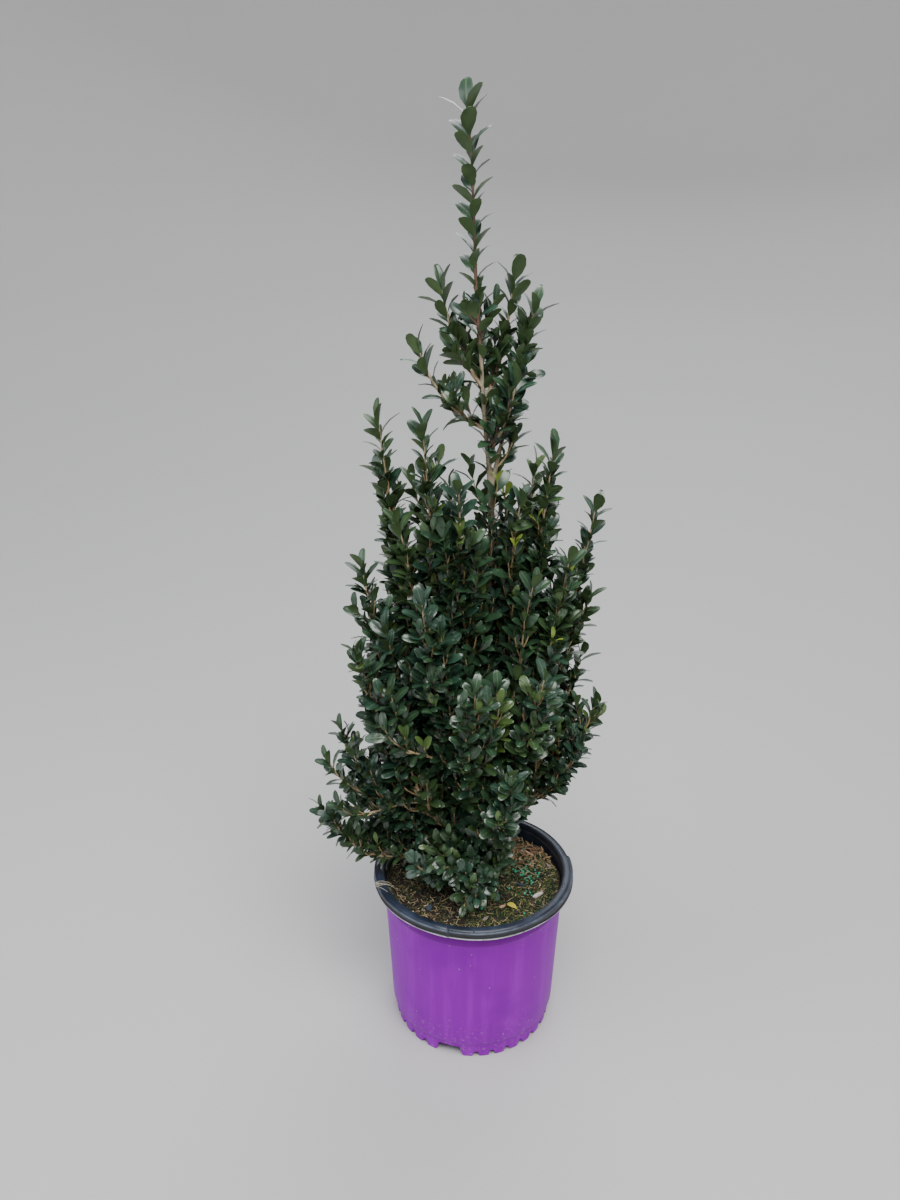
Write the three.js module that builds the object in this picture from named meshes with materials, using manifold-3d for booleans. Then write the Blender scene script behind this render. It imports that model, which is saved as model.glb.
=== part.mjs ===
// A young Japanese holly in a nursery pot, in millimetres with +Z up. The origin is on the ground,
// at the middle of the pot's underside, and -Y is the side that faces the viewer.
// The pot is a thin tapered wall with a rolled rim, and it is filled with potting soil. One trunk
// stands on the soil and leans a little on its way to the leader. Boughs leave the trunk, run out
// and turn up, and each ends in a mass of foliage that keeps to its own space around its stem.

import * as THREE from "three";
import { mergeVertices } from "three/addons/utils/BufferGeometryUtils.js";
import Module from "manifold-3d";

const wasm = await Module();
wasm.setup();

// The gap that every two pieces keep where they meet, and the width of a sliver that joining may
// leave and that is smoothed away.
const GAP = 0.3;
const SLIVER = 0.02;

const POT = {
  facets: 36,
  height: 202,
  rimRadius: 118.5,
  rimDepth: 9,
  wall: 2.2,
  wallTop: 191,
  shoulderRadius: 107.2,
  shoulderHeight: 174,
  bodyRadius: 105.8,
  stepRadius: 98.8,
  stepHeight: 24,
  footRadius: 94.5,
  floorTop: 6.5,
  toothNotch: { width: 6.5, height: 6, depth: 4.5 },
  drainNotch: { width: 32, height: 12, depth: 8.5 },
};

// Where the foot's edge is notched, in degrees: wide drains, and small notches between them.
const NOTCHES = { drains: 3, firstDrain: 252, teeth: 8, firstTooth: 19.7, toothPitch: 11.51 };

const SOIL = { middle: 188.5, seatRadius: 22, edge: 183.5 };

// The trunk's centre line from the soil to the foot of the leader, as x, y and z.
const TRUNK = {
  line: [
    [0, 0, SOIL.middle + GAP],
    [1, 0, 215],
    [5, 1, 300],
    [10, 2, 450],
    [15, 1, 600],
    [12.5, 0, 675],
    [6, 0, 740],
    [1.5, 0, 806],
  ],
  sides: 8,
  rings: [0, 0.008, 0.02, 0.04, 0.1, 0.18, 0.27, 0.36, 0.46, 0.56, 0.66, 0.74, 0.8, 0.86, 0.93, 1],
  lowRadius: 7.6,
  topRadius: 2.2,
  flare: 5,
  flareHeight: 26,
  roots: 4,
};

// The leader's stem above the trunk, as x, y and z.
const LEADER = {
  line: [[1.5, 0, 806.4], [-3, 0, 856], [-4.8, 0, 900], [-8.6, 0, 975], [-12, 0, 1007]],
  radius: 2.1,
};

// How each tier of shoots grows: the share of a shoot that is bare bough, how much it bows outwards
// on its way up, the room between side twigs, the length of the lowest side twig, and the share of
// the stem that carries them.
const TIERS = {
  fork: { bare: 0.34, bow: 0, twigEvery: 36, twigLength: 46, twigShare: 0.66 },
  high: { bare: 0.34, bow: 1, twigEvery: 40, twigLength: 66, twigShare: 0.66 },
  middle: { bare: 0.3, bow: 1, twigEvery: 36, twigLength: 62, twigShare: 0.7 },
  low: { bare: 0.26, bow: 1, twigEvery: 34, twigLength: 56, twigShare: 0.78 },
  foot: { bare: 0, bow: 1, twigEvery: 20, twigLength: 52, twigShare: 0.8 },
  tuft: { bare: 0, bow: 1, twigEvery: 26, twigLength: 40, twigShare: 0.6 },
};

// Every shoot: name, tier, azimuth in degrees from +X, height where it leaves the trunk, how far
// its tip stands from the pot's axis, and the height of its tip.
const SHOOTS = [
  ["left_high", "high", 180, 330, 101, 752],
  ["front_left_high", "high", -152, 362, 63, 751],
  ["front_high", "high", -114, 398, 50, 694],
  ["right_high", "high", -7, 425, 77, 724],
  ["right_outer", "high", 5, 300, 126, 662],
  ["back_right_high", "high", 38, 375, 80, 694],
  ["back_high", "high", 110, 345, 84, 664],
  ["left_middle", "middle", -174, 262, 123, 604],
  ["front_left_middle", "middle", -128, 300, 94, 588],
  ["front_middle", "middle", -92, 272, 104, 508],
  ["front_right_middle", "middle", -52, 288, 112, 512],
  ["right_middle", "middle", -20, 335, 101, 618],
  ["right_back_middle", "middle", 18, 256, 130, 478],
  ["back_right_middle", "middle", 76, 284, 122, 588],
  ["back_left_middle", "middle", 142, 292, 124, 580],
  ["left_front_low", "low", -158, 232, 136, 524],
  ["left_low", "low", -176, 222, 155, 412],
  ["left_skirt", "low", 176, 203, 190, 292],
  ["front_right_low", "low", -70, 240, 110, 402],
  ["right_low", "low", -9, 246, 136, 446],
  ["back_right_low", "low", 46, 226, 148, 424],
  ["back_low", "low", 96, 236, 148, 436],
  ["back_left_low", "low", 138, 216, 158, 404],
  ["fork_shoot", "fork", -5, 666, 56, 862],
];

// Short shoots that leave the trunk with no bough of their own, at its foot and below the leader.
const SHORT_SHOOTS = [
  ["foot_left", "foot", -142, 205, 94, 262],
  ["foot_front", "foot", -99, 202, 76, 262],
  ["foot_right", "foot", -48, 206, 60, 270],
  ["tuft_left", "tuft", 180, 728, 63, 822],
  ["tuft_back_left", "tuft", 153, 770, 44, 879],
  ["tuft_back_right", "tuft", 35, 752, 43, 889],
  ["tuft_front", "tuft", -33, 706, 44, 792],
];

// Boughs and twigs taper along their length, from a root that is thicker on a longer shoot.
const LIMB = { sides: 5, stepLength: 62, rootRadius: 2.3, rootPerLength: 0.0062, tipRadius: 1.2 };
const STEM = { sides: 3, stepLength: 46 };
const TWIG = { sides: 3, rootRadius: 1.6, tipRadius: 1.2, spread: 40 };

// Leaves are drawn larger than life, because the solid carries fewer of them than the plant does.
const LEAF = {
  length: 38,
  width: 0.52,
  widestAt: 0.6,
  fold: 1.8,
  sunk: 0.4,
  every: 14.5,
  lean: 48,
  tipLean: 24,
  tries: 6,
  ownRoot: 4,
};

// How far a leaf or twig stays from the border of its mass's space, and from every limb.
const ROOM = { border: 1, limb: 1.5, soil: 2.5, rim: 3 };

const GOLDEN_ANGLE = THREE.MathUtils.degToRad(137.5);
const UP = new THREE.Vector3(0, 0, 1);
const REARWARD = new THREE.Vector3(0, 1, 0);
const { degToRad, lerp, clamp } = THREE.MathUtils;

// A repeatable chance from 0 to 1 for one draw of one shoot.
function chance(shoot, item, draw) {
  const wave = Math.sin(shoot * 12.9898 + item * 78.233 + draw * 37.719) * 43758.5453;
  return wave - Math.floor(wave);
}

function vector([x, y, z]) {
  return new THREE.Vector3(x, y, z);
}

function outward(azimuth) {
  return new THREE.Vector3(Math.cos(degToRad(azimuth)), Math.sin(degToRad(azimuth)), 0);
}

// A closed geometry as a solid that can be cut and joined.
function solidOf(geometry) {
  const bare = geometry.clone();
  bare.deleteAttribute("normal");
  bare.deleteAttribute("uv");
  const merged = mergeVertices(bare, 1e-4);
  const vertProperties = merged.getAttribute("position").array;
  const triVerts = new Uint32Array(merged.index.array);
  return new wasm.Manifold(new wasm.Mesh({ numProp: 3, vertProperties, triVerts }));
}

function geometryOf(solid) {
  const { vertProperties, triVerts } = solid.getMesh();
  const geometry = new THREE.BufferGeometry();
  geometry.setAttribute("position", new THREE.BufferAttribute(vertProperties, 3));
  geometry.setIndex(new THREE.BufferAttribute(triVerts, 1));
  geometry.computeVertexNormals();
  return geometry;
}

// A profile of [radius, height] pairs turned round the pot's axis.
function turned(profile) {
  const points = profile.map(([radius, height]) => new THREE.Vector2(radius, height));
  return new THREE.LatheGeometry(points, POT.facets).rotateX(Math.PI / 2);
}

// The inside of the pot's wall at a height above its foot, set back by a clearance.
function insideOfWall(height, clearance) {
  const climb = (height - POT.stepHeight) / (POT.wallTop - POT.stepHeight);
  return lerp(POT.stepRadius, POT.shoulderRadius, climb) - POT.wall - clearance;
}

// The wall stands on a flat floor whose edge is notched all round. The wide notches reach the soil
// above the floor, and drain it.
function potWall() {
  const top = POT.wallTop;
  const profile = [
    [0, 0],
    [POT.footRadius, 0],
    [POT.footRadius + 1.2, POT.stepHeight - 5],
    [POT.stepRadius, POT.stepHeight],
    [POT.bodyRadius, POT.shoulderHeight - 3],
    [POT.shoulderRadius, POT.shoulderHeight],
    [POT.shoulderRadius, top],
    [insideOfWall(top, 0), top],
    [insideOfWall(POT.stepHeight, 0), POT.stepHeight],
    [POT.footRadius - POT.wall, POT.floorTop],
    [0, POT.floorTop],
  ];
  const notches = [];
  for (let drain = 0; drain < NOTCHES.drains; drain++) {
    const middle = NOTCHES.firstDrain + (drain * 360) / NOTCHES.drains;
    notches.push(footNotch(POT.drainNotch, middle));
    for (let tooth = 0; tooth < NOTCHES.teeth; tooth++) {
      const past = NOTCHES.firstTooth + tooth * NOTCHES.toothPitch;
      notches.push(footNotch(POT.toothNotch, middle + past));
    }
  }
  return geometryOf(solidOf(turned(profile)).subtract(wasm.Manifold.union(notches)));
}

// What a notch takes out of the foot's edge at an azimuth in degrees.
function footNotch({ width, height, depth }, azimuth) {
  const box = new THREE.BoxGeometry(2 * depth, width, 2 * height);
  return solidOf(box.translate(POT.footRadius, 0, 0).rotateZ(degToRad(azimuth)));
}

// The rim is a rolled lip: a rounded bead on top, a groove, and a skirt that turns down outside.
function potRim() {
  const { height: top, rimRadius, rimDepth, shoulderRadius } = POT;
  const foot = POT.wallTop + GAP;
  const skirt = top - rimDepth;
  return turned([
    [shoulderRadius - POT.wall, foot],
    [shoulderRadius, foot],
    [shoulderRadius + 1.2, top - 5.5],
    [rimRadius - 2.2, top - 6.5],
    [rimRadius - 2.2, skirt],
    [rimRadius, skirt],
    [rimRadius, top - 4.6],
    [rimRadius - 4.5, top - 1],
    [shoulderRadius + 2, top],
    [shoulderRadius - POT.wall, top - 3.5],
    [shoulderRadius - POT.wall, foot],
  ]);
}

// The soil fills the pot to a little below the rim, and is flat where the trunk stands on it.
function pottingSoil() {
  const edge = insideOfWall(SOIL.edge, GAP);
  return turned([
    [0, POT.floorTop + GAP],
    [POT.footRadius - POT.wall - GAP, POT.floorTop + GAP],
    [insideOfWall(POT.stepHeight, GAP), POT.stepHeight],
    [edge, SOIL.edge],
    [edge * 0.6, lerp(SOIL.edge, SOIL.middle, 0.75)],
    [SOIL.seatRadius, SOIL.middle],
    [0, SOIL.middle],
  ]);
}

// A tapering limb along a curve, with rings at some shares of its length. The radius may change
// with the share and with the turn round the limb.
function limb(curve, radiusAt, sides, rings, flatFoot = false) {
  const steps = rings.length - 1;
  const positions = [];
  const index = [];
  const across = new THREE.Vector3().crossVectors(curve.getTangentAt(0), REARWARD).normalize();
  for (let i = 0; i <= steps; i++) {
    const centre = curve.getPointAt(rings[i]);
    const along = curve.getTangentAt(rings[i]);
    across.addScaledVector(along, -across.dot(along)).normalize();
    for (let s = 0; s < sides; s++) {
      const turn = (s / sides) * 2 * Math.PI;
      const spoke = across.clone().applyAxisAngle(along, turn);
      const point = centre.clone().addScaledVector(spoke, radiusAt(rings[i], turn));
      if (flatFoot && i === 0) point.z = centre.z;
      positions.push(point.x, point.y, point.z);
    }
  }
  for (let i = 0; i < steps; i++) {
    for (let s = 0; s < sides; s++) {
      const a = i * sides + s;
      const b = i * sides + ((s + 1) % sides);
      index.push(a, b, b + sides, a, b + sides, a + sides);
    }
  }
  const last = steps * sides;
  for (let s = 1; s < sides - 1; s++) {
    index.push(0, s + 1, s, last, last + s, last + s + 1);
  }
  const geometry = new THREE.BufferGeometry();
  geometry.setAttribute("position", new THREE.Float32BufferAttribute(positions, 3));
  geometry.setIndex(index);
  return geometry;
}

// Evenly spaced shares from 0 to 1.
function evenRings(steps) {
  return Array.from({ length: steps + 1 }, (_, i) => i / steps);
}

// A stretch of a curve, from one share of its length to another.
function stretch(curve, from, to, pieces = 8) {
  const points = [];
  for (let i = 0; i <= pieces; i++) points.push(curve.getPointAt(lerp(from, to, i / pieces)));
  return new THREE.CatmullRomCurve3(points);
}

const trunkCurve = new THREE.CatmullRomCurve3(TRUNK.line.map(vector));
const trunkLength = trunkCurve.getLength();

function trunkRadius(share) {
  return lerp(TRUNK.lowRadius, TRUNK.topRadius, share ** 0.85);
}

// The trunk spreads into a few low roots where it meets the soil.
function trunkSurface(clearance) {
  return (share, turn) => {
    const height = share * trunkLength;
    const spread = Math.max(0, 1 - height / TRUNK.flareHeight) ** 1.6;
    const root = 0.7 + 0.3 * Math.cos(turn * TRUNK.roots);
    return trunkRadius(share) + TRUNK.flare * spread * root + clearance;
  };
}

function trunkSolid(clearance = 0) {
  return solidOf(limb(trunkCurve, trunkSurface(clearance), TRUNK.sides, TRUNK.rings, true));
}

// Where the trunk's centre line is at a height.
function trunkAt(height) {
  let low = 0;
  let high = 1;
  for (let i = 0; i < 30; i++) {
    const middle = (low + high) / 2;
    if (trunkCurve.getPointAt(middle).z < height) low = middle;
    else high = middle;
  }
  return trunkCurve.getPointAt(low);
}

// The line of one shoot from the trunk's centre to its tip: where it bows, it leaves at a wide angle
// and turns up. The stem ends a little below the tip, which is the end of its last leaves.
function shootCurve(azimuth, rootHeight, reach, tipHeight, bow) {
  const root = trunkAt(rootHeight);
  const tip = outward(azimuth).multiplyScalar(reach);
  tip.z = tipHeight;
  const away = tip.clone().sub(root).setZ(0);
  const climb = Math.atan2(away.length(), tipHeight - rootHeight);
  away.normalize();
  const leaving = Math.min(climb + bow * (0.6 * climb + degToRad(10)), degToRad(74));
  const arriving = climb * (1 - 0.55 * bow);
  const along = (angle) =>
    away.clone().multiplyScalar(Math.sin(angle)).addScaledVector(UP, Math.cos(angle));
  tip.addScaledVector(along(arriving), -0.85 * LEAF.length);
  const length = root.distanceTo(tip);
  return new THREE.CubicBezierCurve3(
    root,
    root.clone().addScaledVector(along(leaving), length * 0.32),
    tip.clone().addScaledVector(along(arriving), -length * 0.36),
    tip,
  );
}

// Everything that later steps need to know of one shoot.
function planShoot([name, tierName, azimuth, rootHeight, reach, tipHeight], number) {
  const tier = TIERS[tierName];
  const curve = shootCurve(azimuth, rootHeight, reach, tipHeight, tier.bow);
  const length = curve.getLength();
  const rootRadius = LIMB.rootRadius + LIMB.rootPerLength * length;
  const radiusAt = (share) => lerp(rootRadius, LIMB.tipRadius, share);
  const stemFrom = tier.bare + (tier.bare ? GAP / length : 0);
  const stem = stretch(curve, stemFrom, 1);
  return { name, number, tier, curve, length, radiusAt, stemFrom, stem, bough: tier.bare > 0 };
}

function planLeader(number) {
  const stem = new THREE.CatmullRomCurve3(LEADER.line.map(vector));
  const length = stem.getLength();
  const radiusAt = (share) => lerp(LEADER.radius, LIMB.tipRadius, share);
  const tier = { ...TIERS.tuft, twigShare: 0 };
  return { name: "leader", number, tier, curve: stem, length, radiusAt, stemFrom: 0, stem, bough: false };
}

const shoots = [...SHOOTS, ...SHORT_SHOOTS].map(planShoot);
shoots.push(planLeader(shoots.length));

// The distance from a point to a polyline, and the share of the way along it.
function nearest(point, line) {
  const segment = new THREE.Line3();
  const foot = new THREE.Vector3();
  let best = { distance: Infinity, share: 0 };
  for (let i = 0; i + 1 < line.length; i++) {
    segment.set(line[i], line[i + 1]);
    const t = segment.closestPointToPointParameter(point, true);
    segment.at(t, foot);
    const distance = foot.distanceTo(point);
    if (distance < best.distance) best = { distance, share: (i + t) / (line.length - 1) };
  }
  return best;
}

// The limbs that foliage keeps clear of, as polylines with a radius.
const limbs = [{ line: trunkCurve.getSpacedPoints(26), radiusAt: trunkSurface(0) }];
for (const shoot of shoots.filter((s) => s.bough)) {
  const line = stretch(shoot.curve, 0, shoot.tier.bare).getSpacedPoints(8);
  limbs.push({ line, radiusAt: (share) => shoot.radiusAt(share * shoot.tier.bare) });
}
for (const shoot of shoots) shoot.stemLine = shoot.stem.getSpacedPoints(8);

// Whether a point with some thickness may belong to a shoot's mass: nearer its own stem than any
// other, clear of every limb, and above the soil and the rim.
function hasRoom(point, thickness, shoot) {
  const own = nearest(point, shoot.stemLine).distance;
  for (const other of shoots) {
    if (other === shoot) continue;
    if (nearest(point, other.stemLine).distance - own < 2 * (ROOM.border + thickness)) return false;
  }
  for (const { line, radiusAt } of limbs) {
    const { distance, share } = nearest(point, line);
    if (distance < radiusAt(share, 0) + ROOM.limb + thickness) return false;
  }
  const fromAxis = Math.hypot(point.x, point.y);
  const inside = fromAxis < POT.shoulderRadius - POT.wall - ROOM.rim;
  return point.z - thickness > (inside ? SOIL.middle + ROOM.soil : POT.height + ROOM.rim);
}

// Whether a root is outside the trunk, so that what grows from it starts in the open.
function inTheOpen(root) {
  const { line, radiusAt } = limbs[0];
  const { distance, share } = nearest(root, line);
  return distance > radiusAt(share, 0) + ROOM.limb;
}

// The corners of a leaf: its root, sunk in its twig, its left, its tip and its right. The sides
// stand above the line from root to tip, so the leaf is a little folded, with its keel below.
function leafCorners({ root, direction, face }, length, sunk) {
  const side = face.clone().cross(direction).normalize();
  const at = (along, across, lift) => {
    const point = root.clone().addScaledVector(direction, along);
    return point.addScaledVector(side, across).addScaledVector(face, lift);
  };
  const half = (length * LEAF.width) / 2;
  const widest = length * LEAF.widestAt;
  return [at(-sunk, 0, 0), at(widest, -half, LEAF.fold), at(length, 0, 0), at(widest, half, LEAF.fold)];
}

// One leaf as a thin closed solid with an obovate outline.
function leafSolid(corners) {
  const positions = corners.flatMap((corner) => corner.toArray());
  const geometry = new THREE.BufferGeometry();
  geometry.setAttribute("position", new THREE.Float32BufferAttribute(positions, 3));
  geometry.setIndex([0, 1, 3, 1, 2, 3, 1, 0, 2, 0, 3, 2]);
  return solidOf(geometry);
}

// Points all over a leaf, at which its room is tested.
function leafProbes([root, left, tip, right]) {
  const probes = [left, tip, right];
  for (const share of [0.25, 0.5, 0.75]) probes.push(root.clone().lerp(tip, share));
  for (const end of [left, right]) probes.push(root.clone().lerp(end, 0.5), tip.clone().lerp(end, 0.5));
  return probes;
}

// Whether the segment from a to b passes through the leaf.
function pierces(a, b, [root, left, tip, right]) {
  const ray = new THREE.Ray(a, b.clone().sub(a).normalize());
  const hit = new THREE.Vector3();
  return [[root, left, tip], [root, tip, right]].some(
    (face) => ray.intersectTriangle(...face, false, hit) !== null && hit.distanceTo(a) < a.distanceTo(b),
  );
}

// Whether two leaves cross, by the edges of each against the other.
function crosses(one, other) {
  const edges = [[0, 1], [1, 2], [2, 3], [3, 0], [0, 2]];
  const through = (from, into) => edges.some(([a, b]) => pierces(from[a], from[b], into));
  return through(one, other) || through(other, one);
}

// Whether a twig's line passes through a leaf, away from the leaf's own root.
function touchesTwig(line, corners) {
  for (let i = 0; i + 1 < line.length; i++) {
    const fromRoot = nearest(corners[0], [line[i], line[i + 1]]).distance;
    if (fromRoot > LEAF.ownRoot && pierces(line[i], line[i + 1], corners)) return true;
  }
  return false;
}

// A direction that stands out from an axis, turned round it and spread from it.
function spreadFrom(axis, turn, spread) {
  const start = new THREE.Vector3().crossVectors(axis, REARWARD).normalize();
  const radial = start.applyAxisAngle(axis, turn);
  const direction = axis.clone().multiplyScalar(Math.cos(spread)).addScaledVector(radial, Math.sin(spread));
  const face = axis.clone().multiplyScalar(Math.sin(spread)).addScaledVector(radial, -Math.cos(spread));
  return { direction, face };
}

// The first of several turns by the golden angle at which something finds room, or nothing.
function firstWithRoom(turn, make, fits) {
  for (let i = 0; i < LEAF.tries; i++) {
    const made = make(turn + GOLDEN_ANGLE * i);
    if (fits(made)) return made;
  }
  return null;
}

// Leaves along a twig, turned by the golden angle, leaning less towards its tip.
function addLeaves(curve, radiusAt, from, shoot, item, lines, leaves) {
  const length = curve.getLength();
  const count = Math.max(2, Math.round((length * (1 - from)) / LEAF.every) + 1);
  for (let i = 0; i < count; i++) {
    const share = lerp(from, 0.995, i / (count - 1));
    const lean = degToRad(lerp(LEAF.lean, LEAF.tipLean, Math.max(0, i - count + 3) / 2));
    const size = LEAF.length * (0.86 + 0.2 * chance(shoot.number, item + i, 2));
    const root = curve.getPointAt(share);
    if (!inTheOpen(root)) continue;
    const axis = curve.getTangentAt(share);
    const leaf = firstWithRoom(
      GOLDEN_ANGLE * i + 2 * Math.PI * chance(shoot.number, item, 1),
      (turn) => leafCorners({ root, ...spreadFrom(axis, turn, lean) }, size, LEAF.sunk * radiusAt(share)),
      (made) =>
        leafProbes(made).every((point) => hasRoom(point, 0, shoot)) &&
        !leaves.some((other) => crosses(made, other)) &&
        !lines.some((line) => touchesTwig(line, made)),
    );
    if (leaf) leaves.push(leaf);
  }
}

// The side twigs of a shoot: they stand out round its stem, shorten upwards and turn up.
function sideTwigs(shoot) {
  const { tier, stem, number } = shoot;
  const length = stem.getLength();
  const count = Math.round((length * tier.twigShare) / tier.twigEvery);
  const twigs = [];
  for (let i = 0; i < count; i++) {
    const share = 0.04 + tier.twigShare * ((i + 0.5 * chance(number, i, 3)) / count);
    const spread = degToRad(TWIG.spread + 16 * (chance(number, i, 5) - 0.5));
    const shorter = 1 - 0.62 * (share / tier.twigShare);
    const reach = tier.twigLength * shorter * (0.8 + 0.4 * chance(number, i, 6));
    const root = stem.getPointAt(share);
    if (!inTheOpen(root)) continue;
    const axis = stem.getTangentAt(share);
    const twig = firstWithRoom(
      GOLDEN_ANGLE * i + 2 * Math.PI * chance(number, 0, 4),
      (turn) => {
        const { direction } = spreadFrom(axis, turn, spread);
        return new THREE.LineCurve3(root, root.clone().addScaledVector(direction, reach));
      },
      (made) => made.getSpacedPoints(4).slice(1).every((point) => hasRoom(point, TWIG.rootRadius, shoot)),
    );
    if (twig) twigs.push(twig);
  }
  return twigs;
}

// The part of a taper between two shares of a shoot.
function taper(radiusAt, from, to) {
  return (share) => radiusAt(lerp(from, to, share));
}

function largestBody(solid) {
  return solid.decompose().sort((a, b) => b.volume() - a.volume())[0];
}

// A mass of foliage: one stem, its side twigs and all their leaves, joined into one solid.
function foliage(shoot, trunkRoom) {
  const steps = clamp(Math.round(shoot.stem.getLength() / STEM.stepLength), 2, 6);
  const stemRadius = taper(shoot.radiusAt, shoot.stemFrom, 1);
  const twigRadius = (share) => lerp(TWIG.rootRadius, TWIG.tipRadius, share);
  let stem = solidOf(limb(shoot.stem, stemRadius, STEM.sides, evenRings(steps)));
  if (!shoot.bough) stem = largestBody(stem.subtract(trunkRoom));
  const twigs = sideTwigs(shoot);
  const lines = [shoot.stemLine, ...twigs.map((twig) => twig.getSpacedPoints(4))];
  const leaves = [];
  addLeaves(shoot.stem, stemRadius, 0.05, shoot, 100, lines, leaves);
  twigs.forEach((twig, i) => addLeaves(twig, twigRadius, 0.3, shoot, 200 + 20 * i, lines, leaves));
  const twigSolids = twigs.map((twig) => solidOf(limb(twig, twigRadius, TWIG.sides, [0, 1])));
  const joined = wasm.Manifold.union([stem, ...twigSolids, ...leaves.map(leafSolid)]);
  return largestBody(joined.simplify(SLIVER));
}

// A bough: the bare stretch of a shoot, cut clear of the trunk that it grows from.
function bough(shoot, trunkRoom) {
  const { curve, length, tier } = shoot;
  const steps = clamp(Math.round((length * tier.bare) / LIMB.stepLength), 2, 5);
  const radiusAt = taper(shoot.radiusAt, 0, tier.bare);
  const solid = solidOf(limb(stretch(curve, 0, tier.bare), radiusAt, LIMB.sides, evenRings(steps)));
  return largestBody(solid.subtract(trunkRoom));
}

const materials = {
  wall: new THREE.MeshStandardMaterial({ color: 0x8a2bab, roughness: 0.42, metalness: 0 }),
  rim: new THREE.MeshStandardMaterial({ color: 0x20242b, roughness: 0.4, metalness: 0 }),
  soil: new THREE.MeshStandardMaterial({ color: 0x35281c, roughness: 0.95, metalness: 0 }),
  bark: new THREE.MeshStandardMaterial({ color: 0x8a735c, roughness: 0.85, metalness: 0 }),
  leaf: new THREE.MeshStandardMaterial({ color: 0x1d3a22, roughness: 0.4, metalness: 0 }),
};

const plant = new THREE.Group();

function add(name, geometry, material) {
  const mesh = new THREE.Mesh(geometry, material);
  mesh.name = name;
  plant.add(mesh);
}

add("pot_wall", potWall(), materials.wall);
add("pot_rim", potRim(), materials.rim);
add("potting_soil", pottingSoil(), materials.soil);
add("trunk", geometryOf(trunkSolid()), materials.bark);

const trunkRoom = trunkSolid(GAP + 0.05);
for (const shoot of shoots) {
  if (shoot.bough) add(`bough_${shoot.name}`, geometryOf(bough(shoot, trunkRoom)), materials.bark);
  add(`foliage_${shoot.name}`, geometryOf(foliage(shoot, trunkRoom)), materials.leaf);
}

export default plant;
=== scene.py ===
"""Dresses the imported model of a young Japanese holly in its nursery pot.

The plant's table of shoots and its rule of growth are those of the solids, carried on here to
finer twigs and to leaves of nearly their real size. Lengths of the plant are in millimetres until
a mesh is made, and all else is in metres.
"""

from __future__ import annotations

import logging
import math
from dataclasses import dataclass, field
from enum import Enum
from typing import Any, Callable, Iterable, Sequence

import bmesh
import bpy
import numpy as np
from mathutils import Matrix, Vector, noise

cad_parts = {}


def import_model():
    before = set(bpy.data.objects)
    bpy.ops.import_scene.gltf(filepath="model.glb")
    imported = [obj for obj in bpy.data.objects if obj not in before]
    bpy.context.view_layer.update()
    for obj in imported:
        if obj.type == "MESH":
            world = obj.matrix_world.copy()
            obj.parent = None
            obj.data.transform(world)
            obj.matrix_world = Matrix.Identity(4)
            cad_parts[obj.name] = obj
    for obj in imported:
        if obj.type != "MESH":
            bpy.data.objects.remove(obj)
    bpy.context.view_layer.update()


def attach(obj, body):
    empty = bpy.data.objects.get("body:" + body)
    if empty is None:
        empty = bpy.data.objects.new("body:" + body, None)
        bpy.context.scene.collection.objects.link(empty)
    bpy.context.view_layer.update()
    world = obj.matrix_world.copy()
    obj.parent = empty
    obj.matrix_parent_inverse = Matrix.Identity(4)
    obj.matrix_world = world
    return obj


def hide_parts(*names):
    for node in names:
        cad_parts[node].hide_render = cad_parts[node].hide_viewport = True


log = logging.getLogger("holly")

MM = 0.001
GOLDEN_ANGLE = math.radians(137.5)
UP = np.array([0.0, 0.0, 1.0])
ACROSS = np.array([0.0, 1.0, 0.0])
Colour = tuple[float, float, float]
Profile = Sequence[tuple[float, float]]


class Slot(Enum):
    """The record's material slots."""

    WALL = "pot_wall"
    RIM = "pot_rim"
    SOIL = "soil"
    BARK = "bark"
    FOLIAGE = "foliage"


class Tint(Enum):
    """The greens that whole sprays of leaves are dealt."""

    DEEP = 0
    BLUE = 1
    OLIVE = 2
    FRESH = 3
    LIME = 4


# Materials


def math_method(operation: str) -> Callable[["Wire", Any], "Wire"]:
    """Makes one of the operators of a Wire.

    Args:
        operation: The operation of the Math node that it adds.

    Returns:
        The method, whose node takes its own value and another one.
    """

    def method(self: "Wire", other: Any) -> "Wire":
        """Adds the node."""
        return self.bench.node("ShaderNodeMath", {"operation": operation}, {0: self, 1: other})

    return method


class Wire:
    """A value in a material, on which Python's operators add Math nodes."""

    __add__ = __radd__ = math_method("ADD")
    __sub__ = math_method("SUBTRACT")
    __mul__ = __rmul__ = math_method("MULTIPLY")

    def __init__(self, bench: "Bench", socket: bpy.types.NodeSocket) -> None:
        """Wraps one output socket of a bench's tree."""
        self.bench = bench
        self.socket = socket

    def between(self, low: float, high: float) -> "Wire":
        """A smooth step.

        Args:
            low: The value at which the step starts.
            high: The value at which it ends. It may be the smaller of the two.

        Returns:
            0 before low, 1 after high, and a smooth rise from one to the other.
        """
        settings = {"interpolation_type": "SMOOTHSTEP"}
        sockets = {"Value": self, "From Min": low, "From Max": high}
        return self.bench.node("ShaderNodeMapRange", settings, sockets)


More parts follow.
